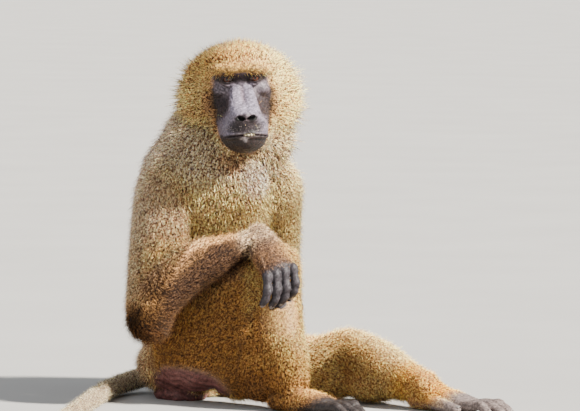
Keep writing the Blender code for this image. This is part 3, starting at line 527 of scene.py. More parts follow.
# Balls that fill the near leg where its parts press together: centre and half sizes.
PRESSED_RIGHT = (
    ((0.158, -0.058, 0.120), (0.052, 0.038, 0.060)),
    ((0.182, -0.064, 0.064), (0.062, 0.037, 0.052)),
    ((0.142, -0.054, 0.196), (0.044, 0.036, 0.036)),
    ((0.128, -0.062, 0.058), (0.056, 0.037, 0.046)),
)


def add_forearm(bm, elbow, wrist, swell):
    """The forearm, with the muscle that swells above the line of its bones near the elbow."""
    elbow, wrist = np.array(elbow), np.array(wrist)
    stations = []
    for share, rise, wide, deep in FOREARM:
        place = elbow + (wrist - elbow) * share + np.array((0, 0, rise * swell))
        stations.append((*place, wide, deep))
    add_tube(bm, stations)


def make_limbs():
    made = []
    for shoulder, elbow, wrist, swell in (
        (SHOULDER_LEFT, ELBOW_LEFT, WRIST_LEFT, 0.3),
        (SHOULDER_RIGHT, ELBOW_RIGHT, WRIST_RIGHT, 1),
    ):
        bm = bmesh.new()
        add_limb(bm, shoulder, elbow, UPPER_ARM)
        add_ball(bm, shoulder, (0.041, 0.037, 0.046))
        add_forearm(bm, elbow, wrist, swell)
        add_ball(bm, elbow, (0.032, 0.032, 0.033))
        made.append(fused(object_of("arm", bm), 0.004, 16))
    bm = bmesh.new()
    add_limb(bm, HIP_RIGHT, KNEE_RIGHT, THIGH_RIGHT, bow=(0.004, -0.006, -0.012))
    add_ball(bm, KNEE_RIGHT, (0.034, 0.033, 0.031))
    # the thigh and the calf press together, and the thigh presses against the forearm
    for centre, radii in PRESSED_RIGHT:
        add_ball(bm, centre, radii)
    add_ball(bm, (0.050, -0.070, 0.064), (0.066, 0.044, 0.046))
    add_limb(bm, KNEE_RIGHT, ANKLE_RIGHT, SHANK_RIGHT, bow=(-0.030, 0, 0))
    made.append(fused(object_of("leg", bm), 0.004, 14))
    bm = bmesh.new()
    thigh = [
        (*HIP_LEFT, 0.054, 0.058),
        (0.100, 0.078, 0.064, 0.050, 0.042),
        (0.165, 0.092, 0.061, 0.042, 0.036),
        (*KNEE_LEFT, 0.034, 0.034),
    ]
    add_tube(bm, thigh)
    add_ball(bm, (0.050, 0.070, 0.062), (0.064, 0.044, 0.045))
    # the limb lies on the floor below the knee
    add_ball(bm, (0.185, 0.098, 0.038), (0.074, 0.040, 0.034))
    add_ball(bm, (0.275, 0.096, 0.040), (0.060, 0.036, 0.036))
    shank = [
        (*KNEE_LEFT, 0.033, 0.033),
        (0.262, 0.099, 0.068, 0.034, 0.037),
        (0.300, 0.092, 0.057, 0.033, 0.038),
        (0.350, 0.082, 0.043, 0.026, 0.031),
        (*ANKLE_LEFT, 0.020, 0.022),
    ]
    add_tube(bm, shank)
    made.append(fused(object_of("leg", bm), 0.004, 7))
    return made


def make_hand(wrist, knuckles, across, drop):
    """Palm, four fingers with their knuckles, and a short thumb."""
    wrist, knuckles = np.array(wrist), np.array(knuckles)
    along = unit(knuckles - wrist)
    across = np.array(across, float)
    across = unit(across - along * np.dot(across, along))
    back = np.cross(along, across)
    bm = bmesh.new()
    palm = [
        (*(wrist - along * 0.012), 0.0190, 0.0165),
        (*(wrist + across * 0.001), 0.0205, 0.0170),
        (*(wrist + (knuckles - wrist) * 0.45 + across * 0.002), HAND_WIDTH * 0.50, 0.0155),
        (*(knuckles - along * 0.006), HAND_WIDTH * 0.51, 0.0125),
    ]
    add_tube(bm, palm, side=across, count=24, cap=0.35)
    first, second = (unit(np.array(way, float)) for way in drop)
    for k, length in enumerate(FINGER_LENGTHS):
        shift = (k - 1.5) * HAND_WIDTH * 0.27
        root = knuckles + across * shift * 0.85 - along * 0.010
        knuckle = knuckles + across * shift
        joint = knuckle + first * length * 0.48 + across * shift * 0.10
        third = unit(second - along * 0.55)
        bend = joint + second * length * 0.27 + across * shift * 0.02
        tip = bend + third * length * 0.25
        r = FINGER_RADIUS
        finger = [
            (*root, r * 0.80, r * 0.80),
            (*knuckle, r * 1.02, r * 1.02),
            (*(knuckle * 0.5 + joint * 0.5), r * 0.82, r * 0.84),
            (*joint, r * 0.98, r * 1.0),
            (*(joint * 0.5 + bend * 0.5), r * 0.82, r * 0.80),
            (*bend, r * 0.86, r * 0.82),
            (*tip, r * 0.76, r * 0.66),
        ]
        add_tube(bm, finger, side=across, steps=4, count=14)
        digits.extend([(knuckle, joint), (joint, bend), (bend, tip)])
        outward = unit(np.cross(across, third))
        if np.dot(outward, unit(along + back * 0.2)) < 0:
            outward = -outward
        nails.append((tip - third * 0.001, third, outward, r * 0.60, r * 0.66))
        # the tendon that runs up the back of the hand
        tendon = [
            (*(knuckle + back * r * 0.55), 0.0030, 0.0030),
            (*(knuckle * 0.6 + wrist * 0.4 + back * 0.0105 + across * shift * 0.2), 0.0026, 0.0026),
            (*(knuckle * 0.3 + wrist * 0.7 + back * 0.0110), 0.0024, 0.0024),
        ]
        add_tube(bm, tendon, side=across, count=8)
    thumb_root = wrist + (knuckles - wrist) * 0.42 + across * HAND_WIDTH * 0.42
    thumb_joint = thumb_root + along * 0.016 + across * 0.012 + first * 0.006
    thumb_tip = thumb_joint + along * 0.012 + first * 0.014
    thumb = [
        (*thumb_root, 0.0085, 0.0085),
        (*thumb_joint, 0.0076, 0.0076),
        (*thumb_tip, 0.0058, 0.0054),
    ]
    add_tube(bm, thumb, side=across, steps=4, count=14)
    way = unit(thumb_tip - thumb_joint)
    nails.append((thumb_tip, way, unit(np.cross(way, np.cross(across, way))), 0.0040, 0.0048))
    return fused(object_of("hand", bm), 0.0012, 3)


def make_foot(heel, turn, ankle, inner):
    """A flat foot with four toes ahead and the great toe set back on the inner side."""
    along = np.array((math.cos(turn), math.sin(turn), 0))
    across = np.array((-math.sin(turn), math.cos(turn), 0)) * inner
    heel = np.array((*heel, 0.0))
    up = np.array((0, 0, 1.0))

    def at(forward, inward, height):
        return heel + along * forward * FOOT_LENGTH + across * inward + up * height

    bm = bmesh.new()
    sole = [
        (*at(0.09, 0, 0.017), 0.0185, 0.0175),
        (*at(0.28, 0, 0.018), 0.0205, 0.0190),
        (*at(0.48, 0.001, 0.0165), 0.0245, 0.0168),
        (*at(0.63, 0, 0.0130), FOOT_WIDTH / 2, 0.0122),
    ]
    add_tube(bm, sole, side=across, count=24, cap=0.45)
    ankle = np.array(ankle)
    instep = [
        (*(ankle + up * 0.012 - along * 0.002), 0.0190, 0.0205),
        (*ankle, 0.0200, 0.0220),
        (*at(0.32, 0, 0.024), 0.0185, 0.0180),
        (*at(0.48, 0, 0.018), 0.0170, 0.0130),
    ]
    add_tube(bm, instep, side=across, cap=0.5)
    for k, reach in enumerate(TOE_REACHES):
        inward = (1.5 - k) * FOOT_WIDTH * 0.262
        bend = 0.70 + (reach - 0.70) * 0.48
        r = TOE_RADIUS
        toe = [
            (*at(0.58, inward * 0.95, 0.0125), r * 0.85, r * 0.90),
            (*at(0.70, inward * 1.02, 0.0150), r * 0.96, r),
            (*at((0.70 + bend) / 2, inward * 1.05, 0.0160), r * 0.80, r * 0.84),
            (*at(bend, inward * 1.08, 0.0165), r * 0.92, r * 0.95),
            (*at((bend + reach) / 2 - 0.032, inward * 1.09, 0.0125), r * 0.80, r * 0.78),
            (*at(reach - 0.065, inward * 1.10, 0.0095), r * 0.84, r * 0.82),
            (*at(reach - 0.035, inward * 1.10, 0.0064), r * 0.74, r * 0.68),
        ]
        add_tube(bm, toe, side=across, steps=4, count=14)
        way = unit(at(reach, inward * 1.10, 0.0050) - at(reach - 0.065, inward * 1.10, 0.0095))
        outward = unit(np.cross(way, across * inner))
        tip = at(reach - 0.035, inward * 1.10, 0.0064)
        nails.append((tip, way, outward * np.sign(outward[2]), 0.0042, 0.0056))
    great = [
        (*at(0.30, 0.014, 0.0150), 0.011, 0.011),
        (*at(0.40, 0.026, 0.0140), 0.0102, 0.0102),
        (*at(0.52, 0.0335, 0.0125), 0.0096, 0.0092),
        (*at(0.62, 0.0350, 0.0085), 0.0086, 0.0074),
    ]
    add_tube(bm, great, side=across, steps=4, count=16)
    nails.append((at(0.625, 0.0352, 0.0100), along, up, 0.0052, 0.0060))
    return fused(object_of("foot", bm), 0.0013, 3)


def make_tail():
    count = len(TAIL_PATH) - 1
    rows = []
    for k, place in enumerate(TAIL_PATH):
        radius = 0.0165 - 0.008 * k / count
        rows.append((*place[:2], place[2] - 0.002 * k / count, radius, radius))
    bm = bmesh.new()
    add_tube(bm, rows, side=(1, -0.5, 0), count=16)
    return object_of("tail", bm)


def make_seat():
    bm = bmesh.new()
    for y in (-1, 1):
        add_ball(bm, (-0.004, y * 0.040, 0.007), (0.048, 0.036, 0.016))
    add_ball(bm, (-0.004, 0, 0.007), (0.032, 0.028, 0.012))
    return object_of("seat", bm)


def ease_near(mesh, places, reach, rounds):
    """Eases the skin near the given places, so that no crease shows where two forms meet."""
    points = points_of(mesh)
    weight = np.zeros(len(points))
    for place in places:
        away = np.linalg.norm(points - place, axis=1)
        weight = np.maximum(weight, 1 - smooth_step(reach * 0.5, reach, away))
    pairs = np.empty(len(mesh.edges) * 2, np.int32)
    mesh.edges.foreach_get("vertices", pairs)
    pairs = pairs.reshape(-1, 2)
    pairs = pairs[weight[pairs].max(axis=1) > 0]
    for _ in range(rounds):
        total = np.zeros_like(points)
        count = np.zeros(len(points))
        for a, b in ((0, 1), (1, 0)):
            np.add.at(total, pairs[:, a], points[pairs[:, b]])
            np.add.at(count, pairs[:, a], 1)
        has = count > 0
        mean = points.copy()
        mean[has] = total[has] / count[has, None]
        points += (mean - points) * (weight * 0.6)[:, None]
    mesh.vertices.foreach_set("co", points.astype(np.float32).ravel())
    mesh.update()


def make_skin():
    """One closed skin from the crown to the toes."""
    forms = [make_trunk(), *make_limbs(), make_tail(), make_seat()]
    core = make_ruff_core()
    core.data.transform(HEAD)
    skin = fused(joined("skin", [*forms, core]), 0.003, 3)
    hands = (
        (WRIST_RIGHT, KNUCKLES_RIGHT, (0.476, 0.831, 0.29), ((0.16, -0.06, -0.98), (-0.22, 0.02, -0.97))),
        (WRIST_LEFT, KNUCKLES_LEFT, (0.75, -0.55, 0.30), ((0.10, 0.25, -0.95), (-0.35, 0.25, -0.9))),
    )
    extremities = [make_hand(*row) for row in hands]
    extremities.append(make_foot(HEEL_RIGHT, FOOT_TURN_RIGHT, ANKLE_RIGHT, 1))
    extremities.append(make_foot(HEEL_LEFT, FOOT_TURN_LEFT, ANKLE_LEFT, -1))
    for piece in extremities:
        boolean(skin, piece, "UNION")
    ease_near(skin.data, [np.array(p) for p in (WRIST_LEFT, WRIST_RIGHT)], 0.030, 12)
    ease_near(skin.data, [np.array(p) + (0, 0, 0.012) for p in (ANKLE_LEFT, ANKLE_RIGHT)], 0.032, 12)
    face = make_face()
    ears = [piece for y in (1, -1) for piece in make_ear(y)]
    for piece in (face, *ears):
        piece.data.transform(HEAD)
        boolean(skin, piece, "UNION")
    points = points_of(skin.data)
    # soft folds across the bare pads that the animal sits on
    folds = 0.0018 * fold_lines(points) + 0.0012 * ripple(points, 0.024, 32)
    points += normals_of(skin.data) * (near_any(points, SEAT_FOLDED, 0.6) * folds)[:, None]
    q = in_head(points)
    face = smooth_step(0.030, 0.045, q[:, 0]) * smooth_step(0.50, 0.46, points[:, 2] - 0.05)
    side = np.abs(q[:, 1])
    groove = smooth_step(0.0055, 0.0, side) * near(q, (0.078, 0, -0.008), (0.036, 0.020, 0.030), 0.5)
    ridged = smooth_step(0.012, 0.018, side) * smooth_step(0.050, 0.070, q[:, 0])
    lines = np.sin(q[:, 2] * 1150 + q[:, 0] * 420 + 1.6 * ripple(q, 0.022, 41)) * ridged
    lines = lines * smooth_step(0.125, 0.105, q[:, 0])
    frown = np.sin(q[:, 0] * 1500 + side * 500) * near(q, (0.060, 0, 0.006), (0.012, 0.016, 0.012), 0.8)
    rise = 0.00045 * lines + 0.00035 * frown + 0.00035 * ripple(q, 0.0075, 42) - 0.0009 * groove
    points += normals_of(skin.data) * (face * rise * (q[:, 2] < 0.020))[:, None]
    points[:, 2] = np.maximum(points[:, 2], LOWEST)
    skin.data.vertices.foreach_set("co", points.astype(np.float32).ravel())
    skin.data.update()
    skin.data.shade_smooth()
    return skin


def segment(points, a, b):
    """Share of the way along a to b, and distance from that axis, for each point."""
    a, b = np.array(a, float), np.array(b, float)
    way = b - a
    share = np.clip((points - a) @ way / (way @ way), 0, 1)
    return share, np.linalg.norm(points - (a + share[:, None] * way), axis=1)


def near(points, centre, radii, soft=0.5):
    """1 inside an ellipsoid, falling to 0 outside it over the given share of its size."""
    away = np.linalg.norm((points - np.array(centre)) / np.array(radii), axis=1)
    return 1 - smooth_step(1 - soft / 2, 1 + soft / 2, away)


def near_any(points, places, soft):
    """The most that near gives over several ellipsoids, each a centre and its half sizes."""
    return np.max([near(points, centre, radii, soft) for centre, radii in places], axis=0)


def near_sides(points, centre, radii, soft):
    """The same for one ellipsoid and its mirror image across the head's middle."""
    x, y, z = centre
    return near_any(points, (((x, -y, z), radii), ((x, y, z), radii)), soft)


def blend(base, colour, weight):
    return base + (np.array(colour) - base) * weight[:, None]


def ripple(points, size, seed):
    """A smooth random value between about -1 and 1 that changes over the given distance."""
    draw = np.random.default_rng(seed)
    total = np.zeros(len(points))
    for _ in range(5):
        way = unit(draw.normal(size=3)) * draw.uniform(0.7, 1.4) * 2 * math.pi / size
        total += np.sin(points @ way + draw.uniform(0, 2 * math.pi))
    return total / 3


def fold_lines(points):
    """Wavy folds that run along the bare pads, between about -1 and 1."""
    wave = points[:, 2] * 620 + points[:, 0] * 190 + 2.4 * ripple(points, 0.032, 31)
    return np.sin(wave) * (0.6 + 0.4 * ripple(points, 0.018, 33))


def in_head(points):
    back = np.array(HEAD.inverted())
    return points @ back[:3, :3].T + back[:3, 3]


# Parts that carry hair: axis from and to, radius there, hair length, and its angle off the skin.
LEFT_TOES = (0.530, 0.074, 0.012)
RIGHT_TOES = (0.382, -0.078, 0.012)
LIMBS = {
    "arm": (
        (SHOULDER_LEFT, ELBOW_LEFT, 0.040, 0.034, 0.017, 21),
        (SHOULDER_RIGHT, ELBOW_RIGHT, 0.040, 0.034, 0.017, 21),
        (ELBOW_LEFT, WRIST_LEFT, 0.033, 0.018, 0.015, 19),
        (ELBOW_RIGHT, WRIST_RIGHT, 0.033, 0.018, 0.015, 19),
    ),
    "leg": (
        (HIP_LEFT, KNEE_LEFT, 0.056, 0.034, 0.014, 20),
        (HIP_RIGHT, KNEE_RIGHT, 0.064, 0.035, 0.014, 20),
        (KNEE_LEFT, ANKLE_LEFT, 0.034, 0.021, 0.013, 20),
        (KNEE_RIGHT, ANKLE_RIGHT, 0.040, 0.028, 0.013, 20),
    ),
    "hand": (
        (WRIST_LEFT, KNUCKLES_LEFT, 0.018, 0.020, 0.009, 9),
        (WRIST_RIGHT, KNUCKLES_RIGHT, 0.018, 0.020, 0.009, 9),
    ),
    "foot": (
        (ANKLE_LEFT, LEFT_TOES, 0.022, 0.016, 0.008, 9),
        (ANKLE_RIGHT, RIGHT_TOES, 0.022, 0.016, 0.008, 9),
    ),
}
TRUNK = (
    ((0.000, 0, 0.040), (-0.012, 0, 0.210), 0.084, 0.092, 0.015, 24),
    ((-0.012, 0, 0.210), (0.008, 0, 0.320), 0.092, 0.098, 0.016, 24),
    ((0.008, 0, 0.320), (0.026, 0.008, 0.390), 0.098, 0.086, 0.018, 26),
    ((0.026, 0.008, 0.390), (0.026, 0.026, 0.452), 0.086, 0.054, 0.020, 28),
)


def face_width(z):
    """Half the width of the bare face at a height in the head's own frame."""
    heights = (-0.105, -0.092, -0.070, -0.030, 0.000, 0.022, 0.034)
    return np.interp(z, heights, (0.014, 0.024, 0.0345, 0.0380, 0.0430, 0.0460, 0.0420))


def bare_face(q):
    """How bare the skin of the head is: face and ears."""
    x, y, z = q[:, 0], np.abs(q[:, 1]), q[:, 2]
    wander = 0.0018 * ripple(q, 0.016, 5)
    top = 0.0252 - 0.12 * np.maximum(0, y - 0.030)
    wide = face_width(z) + 0.005 * near(q, (0.045, 0.040, -0.022), (0.040, 0.030, 0.026), 0.8)
    inside = np.minimum((wide - y + wander) / 0.008, (top - z + wander) / 0.004)
    inside = np.minimum(inside, (x - 0.016) / 0.010)
    muzzle = np.minimum((x - 0.050) / 0.012, (0.012 - z) / 0.006)
    under = np.minimum((z + 0.084) / 0.008 + np.maximum(0, x - 0.070) / 0.010, muzzle)
    bare = smooth_step(-0.5, 0.5, np.maximum(inside, under))
    place = (EAR_PLACE[0], EAR_PLACE[1] + 0.004, EAR_PLACE[2])
    return np.maximum(bare, near_sides(q, place, (0.021, 0.0150, 0.0275), 0.25))


def stubble_of(q):
    """Where the bare face carries pale bristles, and where it carries short dark hairs."""
    pale = near(q, (0.132, 0, -0.0580), (0.022, 0.030, 0.0070), 0.8)
    dark = near(q, (0.120, 0, -0.086), (0.030, 0.026, 0.012), 0.8)
    hollows = near_sides(q, (0.050, 0.0400, -0.0260), (0.034, 0.0120, 0.0260), 0.8)
    return pale, np.maximum(dark, hollows)


def coat_fields(points, normals):
    """Lie, length, lift, thickness and colour of the coat, and how bare the skin is, at each point."""
    count = len(points)
    q = in_head(points)
    rows, kinds = [], []
    for kind, limbs in LIMBS.items():
        for row in limbs:
            rows.append(row)
            kinds.append(kind)
    for row in TRUNK:
        rows.append(row)
        kinds.append("trunk")
    for a, b in zip(TAIL_PATH, TAIL_PATH[1:]):
        rows.append((a, b, 0.012, 0.011, 0.010, 13))
        kinds.append("tail")
    reach = np.empty((len(rows) + 1, count))
    lies = np.empty((len(rows) + 1, count, 3))
    values = np.empty((len(rows) + 1, count, 2))
    shares = {}
    for k, ((a, b, ra, rb, length, lift), kind) in enumerate(zip(rows, kinds)):
        share, distance = segment(points, a, b)
        reach[k] = distance - (ra + (rb - ra) * share)
        shares[k] = share
        lies[k] = (-0.12, 0, -1) if kind == "trunk" else unit(np.array(b) - np.array(a))
        values[k] = (length, lift)
    skull = (np.linalg.norm((q - (-0.022, 0, -0.016)) / (0.078, 0.080, 0.074), axis=1) - 1) * 0.07
    _, muzzle = segment(q, (0.030, 0, -0.030), (0.120, 0, -0.060))
    _, beard = segment(q, (-0.005, 0, -0.060), (-0.055, 0, -0.075))
    reach[-1] = np.minimum(np.minimum(skull, muzzle - 0.036), beard - 0.055)
    out = np.stack(
        [
            np.full(count, -1.0),
            0.85 * q[:, 1] / 0.08,
            0.45 * (q[:, 2] + 0.020) / 0.08 - 0.15,
        ],
        axis=1,
    )
    brow = near(q, (0.056, 0, 0.035), (0.024, 0.060, 0.011), 0.7)
    out = out * (1 - brow[:, None]) + np.array((-0.35, 0, 1.0)) * brow[:, None]
    turn = np.array(HEAD)[:3, :3]
    lies[-1] = rows_unit(out) @ turn.T
    edge = face_width(q[:, 2]) + 0.016
    front = smooth_step(edge + 0.030, edge, np.abs(q[:, 1]) - 0.9 * np.minimum(0, q[:, 0] - 0.020))
    crown = smooth_step(0.020, 0.050, q[:, 2])
    hair = 0.029 - 0.010 * crown - 0.016 * front * (1 - crown) - 0.003 * front * crown
    hair = hair * (1 - brow) + 0.0062 * brow
    values[-1, :, 0] = hair
    values[-1, :, 1] = 34 + 8 * crown - 4 * brow
    weight = np.exp(-(reach - reach.min(axis=0)) / 0.007)
    weight /= weight.sum(axis=0)
    lie = np.einsum("kn,knc->nc", weight, lies)
    length = np.einsum("kn,kn->n", weight, values[:, :, 0])
    lift = np.einsum("kn,kn->n", weight, values[:, :, 1])
    owner = {"head": weight[-1]}
    for kind in ("arm", "leg", "hand", "foot", "trunk", "tail"):
        owner[kind] = sum(weight[k] for k, name in enumerate(kinds) if name == kind)
    # the hair wanders a little from its lie
    swing = np.stack([ripple(points, 0.045, seed) for seed in (11, 12, 13)], axis=1)
    lie = lie + 0.13 * swing
    lie = rows_unit(lie - normals * np.sum(lie * normals, axis=1, keepdims=True))

    digit = np.full(count, 1.0)
    for a, b in digits:
        digit = np.minimum(digit, segment(points, a, b)[1])
    digit = smooth_step(FINGER_RADIUS + 0.0030, FINGER_RADIUS + 0.0010, digit)
    owner["hand"] = np.maximum(owner["hand"], digit)
    # the fingers press the hair of the knee flat
    knuckles = np.array(KNUCKLES_RIGHT)
    _, finger = segment(points, knuckles + (0, 0, -0.004), knuckles + (0, 0, -0.062))
    pressed = smooth_step(0.044, 0.030, finger) * (1 - owner["hand"])
    length = length * (1 - 0.55 * pressed)
    lift = lift * (1 - 0.6 * pressed)
    bare = bare_face(q) * smooth_step(0.3, 0.7, owner["head"])
    thick = 1 - bare
    for k, kind in enumerate(kinds):
        if kind == "hand":
            bald = weight[k] * smooth_step(0.80, 1.0, shares[k])
            bare = np.maximum(bare, bald)
        if kind == "foot":
            bald = weight[k] * smooth_step(0.30, 0.58, shares[k])
            bald = np.maximum(bald, weight[k] * smooth_step(0.016, 0.009, points[:, 2]))
            bare = np.maximum(bare, bald)
    seat = near_any(points, SEAT_BARE, 0.3)
    seat *= 1 - smooth_step(0.3, 0.7, owner["tail"])
    bare = np.maximum(np.maximum(bare, seat), digit)
    thick = np.minimum(thick, 1 - bare)
    stubble, dusky = stubble_of(q)
    short = np.maximum(stubble, dusky) * smooth_step(0.3, 0.7, owner["head"])
    thick = np.maximum(thick, 0.30 * short)
    length = length + (0.0030 + 0.0016 * dusky - length) * short * smooth_step(0.1, 0.5, bare)
    lift = lift + (26 - lift) * short * bare
    # thin hair on the upper breast shows the skin
    breast = near(points, (0.134, -0.004, 0.362), (0.032, 0.034, 0.032), 0.9)
    thick = thick * (1 - 0.45 * breast)
    tint = fur_colour(points, normals, q, owner)
    # short dark hairs under the chin and in the hollows beside the muzzle, darker in part from painted shade
    tint = blend(tint, (0.040, 0.026, 0.022), smooth_step(0.02, 0.25, dusky) * smooth_step(0.02, 0.25, bare))
    tint = blend(tint, (0.170, 0.155, 0.170), smooth_step(0.02, 0.3, stubble) * bare)
    hide = skin_colour(points, q, owner, seat)
    return lie, length, lift, thick, tint, hide, bare, owner


def fur_colour(points, normals, q, owner):
    """The colour of the hair tips at each point."""
    x, y, z = points.T
    trunk, arm, leg = owner["trunk"], owner["arm"], owner["leg"]
    colour = np.tile(np.array((0.72, 0.380, 0.150)), (len(points), 1))
    # greyer and pinker down the back, paler and yellower on the breast
    back = smooth_step(-0.2, 0.9, -normals @ unit(np.array((0.75, 0.45, -0.1))))
    colour = blend(colour, (0.64, 0.370, 0.270), trunk * back * 0.9)
    colour = blend(colour, (1.20, 0.720, 0.320), trunk * smooth_step(-0.04, 0.04, x) * 0.97)
    mane = trunk * smooth_step(0.330, 0.380, z)
    colour = blend(colour, (0.84, 0.540, 0.420), mane * 0.75)
    pink = near(points, (0.134, 0.000, 0.362), (0.035, 0.038, 0.036), 0.9)
    colour = blend(colour, (1.20, 0.860, 0.680), pink * 0.9)
    # painted shadow of the chin on the throat
    shade = near(points, (0.112, -0.042, 0.392), (0.036, 0.026, 0.022), 0.9)
    colour = blend(colour, (0.170, 0.090, 0.050), shade * 0.75)
    # arms: brown, paler at the wrist; nearly black at the elbow, from dark hair and painted shade, and
    # underneath, from painted shade; the left one painted golden, as painted light
    # painted shade: arm hair that faces downwards is darkened
    underside_shade = smooth_step(0.35, -0.45, normals[:, 2])
    colour = blend(colour, (0.74, 0.410, 0.160), arm * 0.85)
    high = arm * smooth_step(0.235, 0.300, z)
    colour = blend(colour, (0.88, 0.510, 0.330), high * 0.85)
    colour = blend(colour, (0.68, 0.450, 0.340), arm * back * smooth_step(0.12, 0.20, z) * 0.7)
    # painted light: the far (left) shoulder and upper arm are painted lighter and golden, where the key light
    # falls
    far_arm_light = near(points, SHOULDER_LEFT, (0.080, 0.075, 0.110), 0.8)
    colour = blend(colour, (1.02, 0.700, 0.380), arm * far_arm_light * 0.9)
    # painted light: the upper part of the far (left) arm is painted golden as well, and kept out of the
    # painted shade underneath
    left = smooth_step(0.02, 0.07, y) * smooth_step(0.16, 0.23, z)
    underside_shade = underside_shade * (1 - left)
    # near black below each elbow: the hair there is dark brown, and painted shade darkens it further
    elbows = [(np.array(place) - (0, 0, 0.022), (0.060,) * 3) for place in (ELBOW_RIGHT, ELBOW_LEFT)]
    elbow = near_any(points, elbows, 0.9)
    colour = blend(colour, (0.024, 0.012, 0.005), arm * elbow)
    # painted shade under the arms
    colour = blend(colour, (0.070, 0.033, 0.014), arm * underside_shade * 0.92)
    # painted light on the far (left) arm
    colour = blend(colour, (1.10, 0.690, 0.320), arm * left * 0.95)
    for a, b in ((ELBOW_RIGHT, WRIST_RIGHT), (ELBOW_LEFT, WRIST_LEFT)):
        share, distance = segment(points, a, b)
        here = arm * smooth_step(0.080, 0.036, distance) * smooth_step(0.02, 0.20, share)
        here = here * smooth_step(1.0, 0.85, share)
        # painted shade darkens the side and underside of each forearm; its top, where the light falls, stays
        # a lighter brown
        colour = blend(colour, (0.045, 0.024, 0.014), here * smooth_step(0.90, 0.62, normals[:, 2]))
        colour = blend(colour, (0.24, 0.130, 0.045), here * smooth_step(0.70, 0.92, normals[:, 2]))
    for wrist in (WRIST_RIGHT, WRIST_LEFT):
        cuff = near(points, wrist, (0.036, 0.036, 0.036), 0.6)
        colour = blend(colour, (0.52, 0.400, 0.290), cuff * (arm + owner["hand"]) * 0.85)
    colour = blend(colour, (0.150, 0.086, 0.064), owner["hand"] * 0.97)
    # legs: cream down the front of each shank, orange at the ankle, red brown on the near thigh, which
    # painted shade darkens further
    # the near thigh's hair is red brown, and painted shade darkens it more than the far thigh
    near_thigh_red_and_shade = near(points, (0.110, -0.095, 0.100), (0.140, 0.070, 0.130), 0.8)
    colour = blend(colour, (0.340, 0.160, 0.048), leg * near_thigh_red_and_shade * 0.9)
    creams = ((1.00, 0.560, 0.200), (1.05, 0.650, 0.290))
    oranges = ((0.70, 0.330, 0.090), (1.00, 0.380, 0.030))
    shanks = ((KNEE_RIGHT, ANKLE_RIGHT), (KNEE_LEFT, ANKLE_LEFT))
    for (a, b), cream, orange in zip(shanks, creams, oranges):
        share, distance = segment(points, a, b)
        here = leg * smooth_step(0.075, 0.055, distance)
        front = smooth_step(0.20, 0.75, normals @ unit(np.array((0.9, -0.1, 0.35))))
        colour = blend(colour, cream, here * front * smooth_step(-0.2, 0.12, share) * 0.9)
        rusty = here * smooth_step(0.60, 0.92, share)
        colour = blend(colour, orange, rusty * 0.95)
    # dark orange brown at the near heel: the hair is orange brown, and painted shade darkens it
    heel = near(points, (0.200, -0.080, 0.025), (0.060, 0.050, 0.050), 0.8)
    colour = blend(colour, (0.120, 0.050, 0.012), heel * leg * 0.95)
    # painted shade: the near foot's hair is painted much darker than the far foot's
    shaded_near_foot = smooth_step(0.02, -0.02, y)
    colour = blend(colour, (0.74, 0.500, 0.340), owner["foot"] * (1 - shaded_near_foot) * 0.8)
    colour = blend(colour, (0.100, 0.062, 0.045), owner["foot"] * shaded_near_foot * 0.9)
    for ankle, orange in zip((ANKLE_RIGHT, ANKLE_LEFT), oranges):
        ring = near(points, np.array(ankle) + (0.012, 0, 0), (0.050, 0.040, 0.040), 0.8)
        colour = blend(colour, orange, owner["foot"] * ring * 0.9)
    colour = blend(colour, (0.84, 0.630, 0.450), owner["tail"] * 0.9)
    # head: gold on the crown, brown grey below, and its left cheek, which faces the light, painted cream as
    # painted light
    head = np.tile(np.array((0.94, 0.510, 0.210)), (len(points), 1))
    gold = near(q, (0.000, -0.030, 0.060), (0.080, 0.080, 0.045), 0.9)
    head = blend(head, (0.86, 0.390, 0.120), gold)
    # painted light: the cheek that faces the key light is painted paler and creamier than the other
    cream = near(q, (0.010, 0.085, 0.010), (0.080, 0.062, 0.075), 0.9)
    head = blend(head, (1.10, 0.660, 0.270), cream * 0.85)
    low = smooth_step(-0.040, -0.090, q[:, 2])
    head = blend(head, (0.62, 0.460, 0.310), low * 0.8)
    nape = smooth_step(-0.020, -0.070, q[:, 0])
    head = blend(head, (0.60, 0.400, 0.240), nape * 0.7)
    # darker brown hair in the hollows beside the muzzle, partly its own colour and partly painted shade
    hollows = near_sides(q, (0.044, 0.046, -0.024), (0.030, 0.0130, 0.0260), 0.9)
    head = blend(head, (0.180, 0.110, 0.070), hollows * 0.8)
    brow = near(q, (0.064, 0, 0.031), (0.020, 0.060, 0.007), 0.8)
    head = blend(head, (0.46, 0.270, 0.085), brow * 0.95)
    return blend_rows(colour, head, owner["head"])


def blend_rows(base, other, weight):
    return base + (other - base) * weight[:, None]


